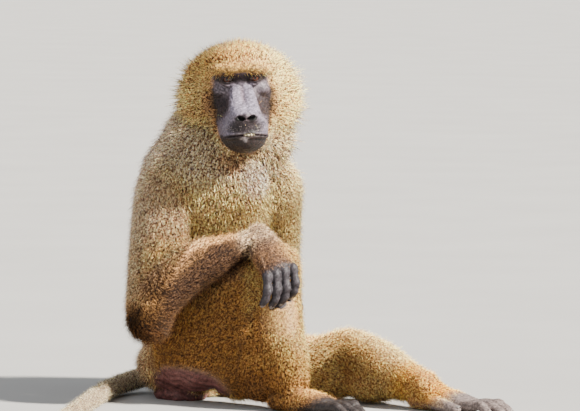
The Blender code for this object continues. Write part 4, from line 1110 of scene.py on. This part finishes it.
def skin_colour(points, q, owner, seat):
    """The colour of the bare skin, which is also what the fur grows from."""
    count = len(points)
    colour = np.tile(np.array((0.120, 0.085, 0.068)), (count, 1))
    face = np.tile(np.array((0.095, 0.072, 0.084)), (count, 1))
    x, y, z = q[:, 0], np.abs(q[:, 1]), q[:, 2]
    muzzle = smooth_step(0.045, 0.070, x)
    face = blend(face, (0.110, 0.088, 0.114), muzzle * smooth_step(-0.020, -0.045, z))
    # the light top of the muzzle, with its ridges, and a dark line of painted shade in the groove between
    # them
    wide = 0.0178 + 0.10 * np.maximum(0, x - 0.066)
    bridge = smooth_step(wide + 0.0045, wide - 0.0020, y) * smooth_step(0.046, 0.060, x)
    bridge = bridge * smooth_step(-0.048, -0.030, z) * smooth_step(0.014, 0.004, z)
    face = blend(face, (0.165, 0.142, 0.185), bridge)
    # painted shade in the groove between the ridges
    groove = smooth_step(0.0050, 0.0010, y) * bridge * smooth_step(0.118, 0.090, x)
    face = blend(face, (0.140, 0.105, 0.130), groove * 0.85)
    flank = near(q, (0.115, 0, -0.048), (0.040, 0.050, 0.016), 0.8) * smooth_step(0.016, 0.024, y)
    face = blend(face, (0.130, 0.110, 0.140), flank * 0.7)
    # the dark skin of the hollows beside the muzzle, darkened further with painted shade
    hollows = near_sides(q, (0.054, 0.0365, -0.0250), (0.036, 0.0175, 0.0215), 0.8)
    face = blend(face, (0.018, 0.011, 0.012), hollows * 0.95)
    pads = near_sides(q, (0.052, 0.0310, 0.0010), (0.020, 0.0110, 0.0075), 0.9)
    face = blend(face, (0.110, 0.090, 0.106), pads * 0.8)
    # painted shadow of the nose on the upper lip
    nose_shadow = near(q, (0.134, 0, -0.0560), (0.034, 0.0290, 0.0128), 0.7)
    face = blend(face, (0.014, 0.009, 0.010), nose_shadow * 0.97)
    mouth = z - MOUTH_HEIGHT + MOUTH_DROP * np.minimum(1, y / MOUTH_PATH[0][1]) ** 3
    pale_lip = smooth_step(0.0016, 0.0004, np.abs(mouth - 0.0034)) * smooth_step(0.028, 0.016, y)
    face = blend(face, (0.300, 0.270, 0.280), pale_lip * muzzle * 0.2)
    lips = smooth_step(0.0044, 0.0020, np.abs(mouth))
    face = blend(face, (0.022, 0.012, 0.012), lips * muzzle * 0.95)
    # the chin's skin is dark, and painted shade under the muzzle makes it darker
    chin = smooth_step(0.0, -0.0032, mouth)
    face = blend(face, (0.014, 0.008, 0.006), chin * 0.97)
    # painted highlight: a pale glint on the wet lower lip
    wet_lip_highlight = near(q, (0.140, -0.0045, -0.0732), (0.012, 0.0070, 0.0020), 0.9)
    wet_lip_highlight = np.maximum(wet_lip_highlight, near(q, (0.140, -0.0030, -0.0758), (0.012, 0.0034, 0.0030), 0.9))
    face = blend(face, (0.260, 0.220, 0.220), wet_lip_highlight * 0.8)
    nose = near(q, (0.1420, 0, -0.0420), (0.0140, 0.0180, 0.0080), 0.5)
    face = blend(face, (0.050, 0.036, 0.040), nose * 0.85)
    # painted shade in the sockets under the brow, round the eyes
    socket = near_sides(q, (EYE_PLACE[0] + 0.010, 0.0230, 0.0180), (0.026, 0.0270, 0.0085), 0.5)
    # painted shade inside the nostrils
    for side in (-1, 1):
        nostril = near(q, (0.1410, side * 0.0092, -0.0420), (0.0120, 0.0086, 0.0042), 0.4)
        face = blend(face, (0.008, 0.005, 0.005), nostril)
    # painted shade in the eye sockets
    face = blend(face, (0.016, 0.009, 0.009), socket * 0.95)
    face *= np.maximum(0.3, 1 + 0.22 * ripple(q, 0.011, 21) + 0.22 * ripple(q, 0.004, 22))[:, None]
    colour = blend_rows(colour, face, smooth_step(0.3, 0.7, owner["head"]))
    hand = smooth_step(0.3, 0.7, owner["hand"] + owner["foot"])
    foot = smooth_step(0.3, 0.7, owner["foot"])
    colour = blend(colour, (0.030, 0.025, 0.029), hand)
    colour = blend(colour, (0.130, 0.100, 0.092), foot)
    # painted shade: the near foot's skin is painted darker than the far foot's
    colour = blend(colour, (0.026, 0.020, 0.019), foot * smooth_step(0.02, -0.02, points[:, 1]))
    # painted light and shade on the folds of the seat: lighter on their ridges, darker in the valleys between
    # them
    fold = 1 + 0.45 * fold_lines(points)
    colour = blend_rows(colour, np.array((0.095, 0.036, 0.032)) * fold[:, None], seat)
    breast = near(points, (0.134, 0.000, 0.360), (0.045, 0.045, 0.040), 0.8)
    colour = blend(colour, (0.340, 0.215, 0.185), breast * 0.8)
    return np.clip(colour, 0.01, 0.9)


def give_colour(mesh, name, values):
    """A colour at each point of the mesh, with its fourth number as a mask."""
    layer = mesh.attributes.new(name, "FLOAT_COLOR", "POINT")
    layer.data.foreach_set("color", values.astype(np.float32).ravel())


def unwrap():
    """A light copy of the skin, unwrapped, as points, triangles and their places on the map."""
    proxy = place_object("unwrap", skin.data.copy())
    thin = proxy.modifiers.new("thin", "DECIMATE")
    thin.ratio = 0.06
    apply_modifiers(proxy)
    bm = bmesh.new()
    bm.from_mesh(proxy.data)
    bmesh.ops.triangulate(bm, faces=bm.faces)
    bm.to_mesh(proxy.data)
    bm.free()
    proxy.data.uv_layers.new(name="map")
    bpy.context.view_layer.objects.active = proxy
    proxy.select_set(True)
    bpy.ops.object.mode_set(mode="EDIT")
    bpy.ops.mesh.select_all(action="SELECT")
    bpy.ops.uv.smart_project(angle_limit=math.radians(66), island_margin=0.002)
    bpy.ops.object.mode_set(mode="OBJECT")
    mesh = proxy.data
    corners = np.empty(len(mesh.loops) * 2, np.float32)
    mesh.uv_layers["map"].uv.foreach_get("vector", corners)
    triangles = np.empty(len(mesh.polygons) * 3, np.int32)
    mesh.polygons.foreach_get("vertices", triangles)
    places = points_of(mesh)
    bpy.data.objects.remove(proxy)
    return places, triangles.reshape(-1, 3), corners.reshape(-1, 3, 2)


def map_places(roots, proxy):
    """Where each root lies on the unwrapped skin."""
    places, triangles, corners = proxy
    tree = BVHTree.FromPolygons(places.tolist(), triangles.tolist())
    found = np.empty(len(roots), int)
    for k, root in enumerate(roots.tolist()):
        found[k] = tree.find_nearest(root)[2]
    a, b, c = (places[triangles[found, k]] for k in range(3))
    ab, ac, ar = b - a, c - a, roots - a
    d00, d01, d11 = (np.sum(u * v, axis=1) for u, v in ((ab, ab), (ab, ac), (ac, ac)))
    d20, d21 = np.sum(ar * ab, axis=1), np.sum(ar * ac, axis=1)
    base = np.maximum(d00 * d11 - d01 * d01, 1e-18)
    v = np.clip((d11 * d20 - d01 * d21) / base, 0, 1)
    w = np.clip((d00 * d21 - d01 * d20) / base, 0, 1)
    w = np.minimum(w, 1 - v)
    corner = corners[found]
    return corner[:, 0] * (1 - v - w)[:, None] + corner[:, 1] * v[:, None] + corner[:, 2] * w[:, None]


def lay_roots(mesh, density, count, seed):
    """Roots spread over the skin by how thick the coat is: their triangle and place in it."""
    mesh.calc_loop_triangles()
    triangles = np.empty(len(mesh.loop_triangles) * 3, np.int32)
    mesh.loop_triangles.foreach_get("vertices", triangles)
    triangles = triangles.reshape(-1, 3)
    points = points_of(mesh)
    a, b, c = (points[triangles[:, k]] for k in range(3))
    area = np.linalg.norm(np.cross(b - a, c - a), axis=1) / 2
    share = np.cumsum(area * density[triangles].mean(axis=1))
    draw = np.random.default_rng(seed)
    steps = (np.arange(count) + draw.random(count)) / count * share[-1]
    chosen = triangles[np.searchsorted(share, steps)]
    u, v = draw.random(count), draw.random(count)
    over = u + v > 1
    u[over], v[over] = 1 - u[over], 1 - v[over]
    return chosen, np.stack([1 - u - v, u, v], axis=1)


# The shares of guard hairs, and of dark and middling shades, and how much longer a guard hair is.
GUARD_SHARE = 0.22
GUARD_LONGER = 0.22
DARK_SHARE = 0.30
MIDDLE_SHARE = 0.60
# The sizes of a small lock and of a speck of one shade, and numbers that give each cell its own key.
LOCK_SIZE = 0.0075
SPECK_SIZE = 0.0031
CELL_KEYS = np.array((73856093, 19349663, 83492791))
KEY_STEP = 2654435761
KEY_RANGE = 1000003
# The side of a tuft's patch on the map.
PATCH_SIZE = 0.003


def build_coat(name, roots, lie, normal, length, lift, width, tint, spot, seed, bent):
    """One mesh of closed tufts, straight spikes or bent locks, with their roots sunk in the skin."""
    count = len(roots)
    draw = np.random.default_rng(seed)
    across = np.cross(lie, normal)
    lie = rows_unit(lie + across * draw.normal(0, 0.20, count)[:, None])
    across = rows_unit(np.cross(lie, normal))
    guard = draw.random(count) < GUARD_SHARE
    length = length * draw.uniform(0.72, 1.15, count) * (1 + GUARD_LONGER * guard)
    # most hairs lie along the body, and some guard hairs stand out of it
    angle = np.radians(lift + draw.normal(0, 8, count) + guard * draw.uniform(6, 24, count))
    up, ahead = np.sin(angle), np.cos(angle)
    way = lie * ahead[:, None] + normal * up[:, None]
    tip = roots + way * length[:, None]
    # the tips of neighbouring tufts draw together into small locks
    cell = np.floor((roots + 0.002 * draw.normal(size=(count, 3))) / LOCK_SIZE).astype(np.int64)
    key = cell @ CELL_KEYS
    _, group = np.unique(key, return_inverse=True)
    group = group.ravel()
    size = np.bincount(group).astype(float)
    middle = np.stack([np.bincount(group, tip[:, k]) / size for k in range(3)], axis=1)
    tip = tip + (middle[group] - tip) * (0.20 * (1 - guard))[:, None]
    tip[:, 2] = np.maximum(tip[:, 2], 0.0006)
    way = rows_unit(tip - roots)
    half = across * (width * 0.5)[:, None]
    deep = normal * (width * 0.35)[:, None]
    root = roots - normal * ROOT_DEPTH - way * 0.001
    root[:, 2] = np.maximum(root[:, 2], 0.0004)
    if bent:
        belly = roots + (tip - roots) * 0.5 + normal * (length * 0.09)[:, None]
        rings = np.stack(
            [
                root - half, root + half, root + deep * 1.6,
                belly - half * 0.8, belly + half * 0.8, belly + deep * 1.3,
                tip - normal * (length * 0.03)[:, None],
            ],
            axis=1,
        )
        faces = np.array(
            [[0, 2, 1], [0, 1, 4], [0, 4, 3], [1, 2, 5], [1, 5, 4], [2, 0, 3], [2, 3, 5],
             [3, 4, 6], [4, 5, 6], [5, 3, 6]]
        )
        along = np.array((0, 0, 0, 0.5, 0.5, 0.5, 1.0))
        sideways = np.array((-0.5, 0.5, 0, -0.4, 0.4, 0, 0))
    else:
        rings = np.stack([root - half, root + half, root + deep * 1.8, tip], axis=1)
        faces = np.array([[0, 2, 1], [0, 1, 3], [1, 2, 3], [2, 0, 3]])
        along = np.array((0, 0, 0, 1.0))
        sideways = np.array((-0.5, 0.5, 0, 0))
    rings[:, :, 2] = np.maximum(rings[:, :, 2], LOWEST)
    each = rings.shape[1]
    index = (np.arange(count)[:, None, None] * each + faces[None]).reshape(-1, 3)
    mesh = bpy.data.meshes.new(name)
    mesh.vertices.add(count * each)
    mesh.vertices.foreach_set("co", rings.astype(np.float32).ravel())
    mesh.loops.add(index.size)
    mesh.loops.foreach_set("vertex_index", index.astype(np.int32).ravel())
    mesh.polygons.add(len(index))
    mesh.polygons.foreach_set("loop_start", np.arange(len(index), dtype=np.int32) * 3)
    mesh.update(calc_edges=True)
    mesh.validate()
    mesh.shade_smooth()
    # neighbouring hairs often share their shade, which gives the coat its grain
    speck = np.floor(tip / SPECK_SIZE).astype(np.int64) @ CELL_KEYS
    shared = (speck * KEY_STEP % KEY_RANGE) / KEY_RANGE
    kind = np.where(draw.random(count) < 0.72, shared, draw.random(count))
    gain = np.where(kind < DARK_SHARE, 0.40, np.where(kind < MIDDLE_SHARE, 0.90, 1.40))
    gain = gain * draw.uniform(0.80, 1.20, count)
    warm = 1 + 0.10 * draw.normal(size=(count, 1)) * np.array((0.3, 0.0, -1.0))
    colour = tint * gain[:, None] * warm
    # dark hairs turn from gold to a purplish brown
    pale = tint.mean(axis=1, keepdims=True)
    purplish = colour * 0.5 + pale * np.array((0.110, 0.080, 0.078))
    colour = np.where((kind < DARK_SHARE)[:, None], purplish, colour)
    colour = colour / np.maximum(1, colour.max(axis=1, keepdims=True) / 0.95)
    colour = np.clip(colour, 0.004, 1.0)
    colour = np.concatenate([colour, np.ones((count, 1))], axis=1)
    give_colour(mesh, "mark", np.repeat(colour, each, axis=0))
    corner = (index % each).ravel()
    owner = (index // each).ravel()
    strand = mesh.uv_layers.new(name="strand")
    values = np.stack([draw.random(count)[owner], along[corner]], axis=1)
    strand.uv.foreach_set("vector", values.astype(np.float32).ravel())
    bake = mesh.uv_layers.new(name="OFBake")
    patch = np.stack([sideways[corner], along[corner] - 0.5], axis=1) * PATCH_SIZE
    bake.uv.foreach_set("vector", (spot[owner] + patch).astype(np.float32).ravel())
    return place_object(name, mesh)


def make_eyes():
    """Eyeballs with a raised cornea, each looking a little outwards."""
    made = []
    for name, y in (("eye_ball_left", 1), ("eye_ball_right", -1)):
        bm = bmesh.new()
        bmesh.ops.create_uvsphere(bm, u_segments=40, v_segments=28, radius=EYE_RADIUS)
        gaze = Vector(unit(np.array((1.0, y * 0.14, -0.06))))
        shade = []
        for vert in bm.verts:
            angle = vert.co.angle(gaze)
            shade.append(angle)
            bulge = max(0.0, 1 - (angle / 0.52) ** 2)
            vert.co *= 1 + 0.07 * bulge
        obj = object_of(name, bm)
        values = np.zeros((len(shade), 4))
        values[:, 0] = np.array(shade) / math.pi
        values[:, 3] = 1
        give_colour(obj.data, "gaze", values)
        obj.data.transform(HEAD @ Matrix.Translation((EYE_PLACE[0], y * EYE_PLACE[1], EYE_PLACE[2])))
        obj.data.shade_smooth()
        made.append(obj)
    return made


def make_nails():
    """Curved plates on the backs of the finger and toe tips."""
    bm = bmesh.new()
    for place, along, outward, wide, length in nails:
        along, outward = unit(np.array(along, float)), np.array(outward, float)
        outward = unit(outward - along * np.dot(along, outward))
        across = np.cross(along, outward)
        grids = []
        for shell in (0.0005, -0.0007):
            rows = []
            for v in np.linspace(-1, 1, 7):
                row = []
                for u in np.linspace(-1, 1, 7):
                    turn = math.radians(62) * u
                    narrow = 1 - 0.16 * max(0, v) ** 3
                    height = wide * 1.05 + shell - 0.0010 * max(0, v) ** 2
                    spot = (
                        np.array(place)
                        + across * (wide * 1.05 + shell) * math.sin(turn) * narrow
                        + outward * height * math.cos(turn)
                        + along * length * v * math.sqrt(1 - 0.22 * u * u)
                    )
                    row.append(bm.verts.new(spot))
                rows.append(row)
            grids.append(rows)
        top, under = grids
        last = len(top) - 1
        for i in range(last):
            for k in range(last):
                bm.faces.new((top[i][k], top[i][k + 1], top[i + 1][k + 1], top[i + 1][k]))
                bm.faces.new((under[i][k], under[i + 1][k], under[i + 1][k + 1], under[i][k + 1]))
            for a, b in ((0, 0), (last, last)):
                bm.faces.new((top[i][a], top[i + 1][a], under[i + 1][b], under[i][b]))
                bm.faces.new((top[a][i], under[b][i], under[b][i + 1], top[a][i + 1]))
    obj = object_of("nails", bm)
    obj.data.shade_smooth()
    return obj


def make_teeth():
    """The edges of the upper front teeth, between the lips."""
    bm = bmesh.new()
    for k, wide in enumerate((0.0020, 0.0024, 0.0024, 0.0020)):
        y = 0.004 + (k - 1.5) * 0.0046
        x = MOUTH_FRONT - 0.0022 - 12 * y * y
        place = Matrix.Translation((x, y, MOUTH_HEIGHT + 0.0012))
        matrix = place @ Matrix.Diagonal((0.0022, wide, 0.0026, 1))
        made = bmesh.ops.create_cube(bm, size=2, matrix=matrix)
        edges = {edge for vert in made["verts"] for edge in vert.link_edges}
        bmesh.ops.bevel(bm, geom=list(edges), offset=0.0007, segments=3, affect="EDGES")
    obj = object_of("teeth", bm)
    obj.data.transform(HEAD)
    obj.data.shade_smooth()
    return obj


def new_material(name, roughness, specular):
    material = bpy.data.materials.new(name)
    material.use_nodes = True
    shader = material.node_tree.nodes["Principled BSDF"]
    shader.inputs["Roughness"].default_value = roughness
    shader.inputs["Specular IOR Level"].default_value = specular
    return material, material.node_tree, shader


def add_node(tree, kind, **values):
    node = tree.nodes.new(kind)
    for name, value in values.items():
        if hasattr(node, name):
            setattr(node, name, value)
        else:
            node.inputs[name.replace("_", " ").title()].default_value = value
    return node


def add_texture(tree, kind, **values):
    """A texture that follows the object's own coordinates."""
    place = add_node(tree, "ShaderNodeTexCoord")
    node = add_node(tree, kind, **values)
    tree.links.new(place.outputs["Object"], node.inputs["Vector"])
    return node


def mix_colours(tree, mode, factor, first, second):
    """A mix of two colours. Each input is a socket or a value."""
    node = tree.nodes.new("ShaderNodeMix")
    node.data_type = "RGBA"
    node.blend_type = mode
    for socket, value in ((0, factor), (6, first), (7, second)):
        if isinstance(value, bpy.types.NodeSocket):
            tree.links.new(value, node.inputs[socket])
        else:
            node.inputs[socket].default_value = value
    return node.outputs[2]


def ramp(tree, factor, stops):
    node = tree.nodes.new("ShaderNodeValToRGB")
    elements = node.color_ramp.elements
    for k, (place, value) in enumerate(stops):
        element = elements[k] if k < 2 else elements.new(place)
        element.position = place
        element.color = (value, value, value, 1) if isinstance(value, float) else (*value, 1)
    tree.links.new(factor, node.inputs["Fac"])
    return node.outputs["Color"]


def fur_material(name):
    material, tree, shader = new_material(name, 0.62, 0.06)
    mark = add_node(tree, "ShaderNodeAttribute", attribute_name="mark")
    strand = add_node(tree, "ShaderNodeUVMap", uv_map="strand")
    parts = add_node(tree, "ShaderNodeSeparateXYZ")
    tree.links.new(strand.outputs["UV"], parts.inputs["Vector"])
    # dark at the root, a pale ring below a darker tip on some hairs
    plain = ramp(tree, parts.outputs["Y"], ((0.0, 0.30), (0.35, 0.75), (0.75, 1.05), (1.0, 1.25)))
    rings = (
        (0.0, 0.22), (0.28, 0.35), (0.38, 1.2), (0.50, 1.1), (0.60, 0.45), (0.70, 1.50), (0.86, 1.45),
        (0.97, 0.55),
    )
    ringed = ramp(tree, parts.outputs["Y"], rings)
    which = ramp(tree, parts.outputs["X"], ((0.36, 0.0), (0.38, 1.0)))
    along = mix_colours(tree, "MIX", which, plain, ringed)
    colour = mix_colours(tree, "MULTIPLY", 1.0, mark.outputs["Color"], along)
    noise = add_texture(tree, "ShaderNodeTexNoise", scale=300.0, detail=1.0)
    dark, gold = (0.09, 0.075, 0.12), (1.90, 1.78, 1.45)
    uneven = ramp(tree, noise.outputs["Fac"], ((0.435, dark), (0.54, gold)))
    colour = mix_colours(tree, "MULTIPLY", 1.0, colour, uneven)
    colour.node.clamp_result = True
    tree.links.new(colour, shader.inputs["Base Color"])
    shader.inputs["Sheen Weight"].default_value = 0.02
    shader.inputs["Sheen Roughness"].default_value = 0.4
    return material


def skin_material():
    material, tree, shader = new_material("skin", 0.50, 0.22)
    hide = add_node(tree, "ShaderNodeAttribute", attribute_name="hide")
    pores = add_texture(tree, "ShaderNodeTexVoronoi", feature="DISTANCE_TO_EDGE", scale=620.0)
    folds = add_texture(tree, "ShaderNodeTexNoise", scale=130.0, detail=6.0, roughness=0.65)
    blotch = add_texture(tree, "ShaderNodeTexNoise", scale=330.0, detail=3.0)
    uneven = ramp(tree, blotch.outputs["Fac"], ((0.34, 0.50), (0.66, 1.45)))
    lines = ramp(tree, pores.outputs["Distance"], ((0.0, 0.62), (0.10, 1.05)))
    colour = mix_colours(tree, "MULTIPLY", 1.0, hide.outputs["Color"], uneven)
    colour = mix_colours(tree, "MULTIPLY", 0.6, colour, lines)
    tree.links.new(colour, shader.inputs["Base Color"])
    rough = ramp(tree, folds.outputs["Fac"], ((0.3, 0.40), (0.7, 0.66)))
    tree.links.new(rough, shader.inputs["Roughness"])
    fine = add_node(tree, "ShaderNodeBump", strength=0.35, distance=0.0006)
    tree.links.new(pores.outputs["Distance"], fine.inputs["Height"])
    broad = add_node(tree, "ShaderNodeBump", strength=0.55, distance=0.0018)
    tree.links.new(folds.outputs["Fac"], broad.inputs["Height"])
    tree.links.new(fine.outputs["Normal"], broad.inputs["Normal"])
    tree.links.new(broad.outputs["Normal"], shader.inputs["Normal"])
    return material


def eye_material():
    material, tree, shader = new_material("eye", 0.16, 0.3)
    gaze = add_node(tree, "ShaderNodeAttribute", attribute_name="gaze")
    parts = add_node(tree, "ShaderNodeSeparateXYZ")
    tree.links.new(gaze.outputs["Vector"], parts.inputs["Vector"])
    rings = (
        (0.0, (0.004, 0.003, 0.003)),
        (0.062, (0.004, 0.003, 0.003)),
        (0.068, (0.095, 0.028, 0.010)),
        (0.125, (0.050, 0.016, 0.008)),
        (0.145, (0.012, 0.006, 0.005)),
        (0.165, (0.040, 0.018, 0.014)),
        (0.300, (0.060, 0.034, 0.028)),
    )
    colour = ramp(tree, parts.outputs["X"], rings)
    fibre = add_texture(tree, "ShaderNodeTexNoise", scale=900.0, detail=3.0)
    uneven = ramp(tree, fibre.outputs["Fac"], ((0.35, 0.6), (0.65, 1.3)))
    tree.links.new(mix_colours(tree, "MULTIPLY", 0.8, colour, uneven), shader.inputs["Base Color"])
    shader.inputs["Coat Weight"].default_value = 0.25
    shader.inputs["Coat Roughness"].default_value = 0.05
    return material


def horn_material(name, low, high, roughness):
    """Nails and teeth: a hard stuff with fine streaks."""
    material, tree, shader = new_material(name, roughness, 0.5)
    streaks = add_texture(tree, "ShaderNodeTexNoise", scale=480.0, detail=4.0)
    tree.links.new(ramp(tree, streaks.outputs["Fac"], ((0.3, low), (0.7, high))), shader.inputs["Base Color"])
    bump = add_node(tree, "ShaderNodeBump", strength=0.3, distance=0.0003)
    tree.links.new(streaks.outputs["Fac"], bump.inputs["Height"])
    tree.links.new(bump.outputs["Normal"], shader.inputs["Normal"])
    return material


COAT_PIECES = {"head": "fur_head", "mane": "fur_mane", "body": "fur_body", "arm": "fur_arm"}
# The mane starts at this height on the trunk.
MANE_BOTTOM = 0.33
# How many straight tufts and bent locks the coat has, and the most of each in one piece.
SPIKES = 325000
BLADES = 9000
MOST_SPIKES = 46000
MOST_BLADES = 18500


def make_coat():
    """The coat in pieces, and the colours of the skin under it."""
    mesh = skin.data
    points, normals = points_of(mesh), normals_of(mesh)
    lie, length, lift, thick, tint, hide, bare, owner = coat_fields(points, normals)
    under = blend_rows(tint * 0.42, hide, bare)
    give_colour(mesh, "hide", np.concatenate([np.clip(under, 0.004, 0.95), bare[:, None]], axis=1))
    proxy = unwrap()
    shag = owner["trunk"] * smooth_step(0.300, 0.350, points[:, 2])
    arm = owner["arm"] + owner["hand"]
    mane = owner["trunk"] * (points[:, 2] > MANE_BOTTOM)
    head_piece, mane_piece, body_piece, arm_piece = range(len(COAT_PIECES))
    choices = [head_piece, arm_piece, mane_piece]
    region = np.select([owner["head"] > 0.5, arm > 0.5, mane > 0.5], choices, body_piece)
    coats = []
    for bent, count, most in ((False, SPIKES, MOST_SPIKES), (True, BLADES, MOST_BLADES)):
        fine = np.clip(0.022 / length, 0.7, 2.6) ** 0.8
        density = thick**1.5 * (shag if bent else fine)
        chosen, weights = lay_roots(mesh, density, count, 3 + bent)
        rows = {}
        fields = {"roots": points, "lie": lie, "normal": normals}
        fields.update({"length": length, "lift": lift, "tint": tint})
        for name, values in fields.items():
            picked = values[chosen]
            shares = weights if picked.ndim == 2 else weights[:, :, None]
            rows[name] = np.sum(picked * shares, axis=1)
        rows["normal"] = rows_unit(rows["normal"])
        rows["lie"] = rows_unit(rows["lie"])
        spots = map_places(rows["roots"], proxy)
        where = region[chosen[:, 0]]
        for k, (label, slot) in enumerate(COAT_PIECES.items()):
            here = np.flatnonzero(where == k)
            here = here[np.argsort(rows["roots"][here, 2], kind="stable")]
            pieces = max(1, math.ceil(len(here) / most)) if len(here) else 0
            for part, some in enumerate(np.array_split(here, pieces) if pieces else []):
                if bent:
                    width = np.clip(rows["length"][some] * 0.055, 0.0012, 0.0022)
                    long = rows["length"][some] * 1.12
                else:
                    width = np.clip(rows["length"][some] * 0.050, 0.0006, 0.0012)
                    long = rows["length"][some]
                name = f"coat_{label}_{'locks' if bent else 'tufts'}_{part + 1}"
                roots, lies, ups, lifts, tints = (
                    rows[key][some] for key in ("roots", "lie", "normal", "lift", "tint")
                )
                seed = 100 * k + 10 * bent + part
                coat = build_coat(
                    name, roots, lies, ups, long, lifts, width, tints, spots[some], seed, bent
                )
                coat.data.materials.append(furs[slot])
                coats.append(coat)
    return coats


def add_floor():
    bm = bmesh.new()
    bmesh.ops.create_circle(bm, cap_ends=True, segments=96, radius=FLOOR_RADIUS)
    floor = object_of("floor", bm)
    material, tree, shader = new_material("floor", 0.9, 0.1)
    grain = add_texture(tree, "ShaderNodeTexNoise", scale=3.0, detail=8.0)
    tone = ramp(tree, grain.outputs["Fac"], ((0.3, (0.33, 0.322, 0.310)), (0.7, (0.355, 0.347, 0.335))))
    tree.links.new(tone, shader.inputs["Base Color"])
    floor.data.materials.append(material)


def point_at(obj, place, target):
    obj.location = place
    obj.rotation_euler = (Vector(target) - Vector(place)).to_track_quat("-Z", "Y").to_euler()


def add_light():
    world = bpy.data.worlds.new("world")
    scene.world = world
    world.use_nodes = True
    background = world.node_tree.nodes["Background"]
    background.inputs["Color"].default_value = (0.93, 0.96, 1.0, 1)
    background.inputs["Strength"].default_value = 0.85
    turn = math.radians(VIEW_AZIMUTH)
    right = np.array((math.cos(turn), math.sin(turn), 0))
    back = np.array((math.sin(turn), -math.cos(turn), 0))
    for name, side, ahead, high, energy, spread, colour in LIGHTS:
        data = bpy.data.lights.new(name, "SUN")
        data.energy = energy
        data.angle = math.radians(spread)
        data.color = colour
        lamp = place_object(name, data)
        point_at(lamp, right * side + back * ahead + np.array((0, 0, high)), (0, 0, 0))


def add_camera():
    data = bpy.data.cameras.new("camera")
    data.sensor_width = 36
    data.lens = VIEW_LENS
    data.clip_end = 500
    data.dof.use_dof = False
    camera = place_object("camera", data)
    turn, rise = math.radians(VIEW_AZIMUTH), math.radians(VIEW_ELEVATION)
    target = np.array((VIEW_SIDE * math.cos(turn), VIEW_SIDE * math.sin(turn), VIEW_HEIGHT))
    back = np.array((math.sin(turn) * math.cos(rise), -math.cos(turn) * math.cos(rise), math.sin(rise)))
    point_at(camera, target + back * VIEW_DISTANCE, target)
    scene.camera = camera


VIEW_AZIMUTH = 38
VIEW_ELEVATION = 4
VIEW_DISTANCE = 7.0
VIEW_LENS = 271.6
VIEW_SIDE = 0.1472
VIEW_HEIGHT = 0.307
FLOOR_RADIUS = 60
# name, how far to the right of the camera, towards it and up, strength, width in degrees, colour
LIGHTS = (
    ("key", 0.72, 0.36, 0.60, 21.0, 5, (1.0, 0.950, 0.86)),
    ("fill", -0.9, 0.6, 0.6, 0.75, 40, (0.94, 0.96, 1.0)),
)

LIMB_NODES = ("upper_arm", "forearm", "hand", "thigh", "shank", "foot")

skin = make_skin()
furs = {slot: fur_material(slot) for slot in COAT_PIECES.values()}
skin.data.materials.clear()
skin.data.materials.append(skin_material())
skin.name = "skin"
coats = make_coat()
eyes = make_eyes()
for eye in eyes:
    eye.data.materials.append(eye_material())
nail_plates = make_nails()
nail_plates.data.materials.append(horn_material("nail", (0.10, 0.085, 0.080), (0.17, 0.145, 0.135), 0.30))
teeth = make_teeth()
teeth.data.materials.append(horn_material("tooth", (0.50, 0.42, 0.26), (0.62, 0.54, 0.36), 0.30))
for piece in (skin, *coats, *eyes, nail_plates, teeth):
    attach(piece, "root")
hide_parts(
    "head", "ear_left", "ear_right", "neck", "torso", "pelvis", "seat_pads",
    "tail_root", "tail_middle", "tail_tip",
    *(f"{part}_{side}" for side in ("left", "right") for part in LIMB_NODES),
)
for eye, node in zip(eyes, ("eye_left", "eye_right")):
    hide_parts(node)
add_floor()
add_light()
add_camera()
print("SKIN", len(skin.data.polygons), "COAT", sum(len(c.data.polygons) for c in coats), len(coats))
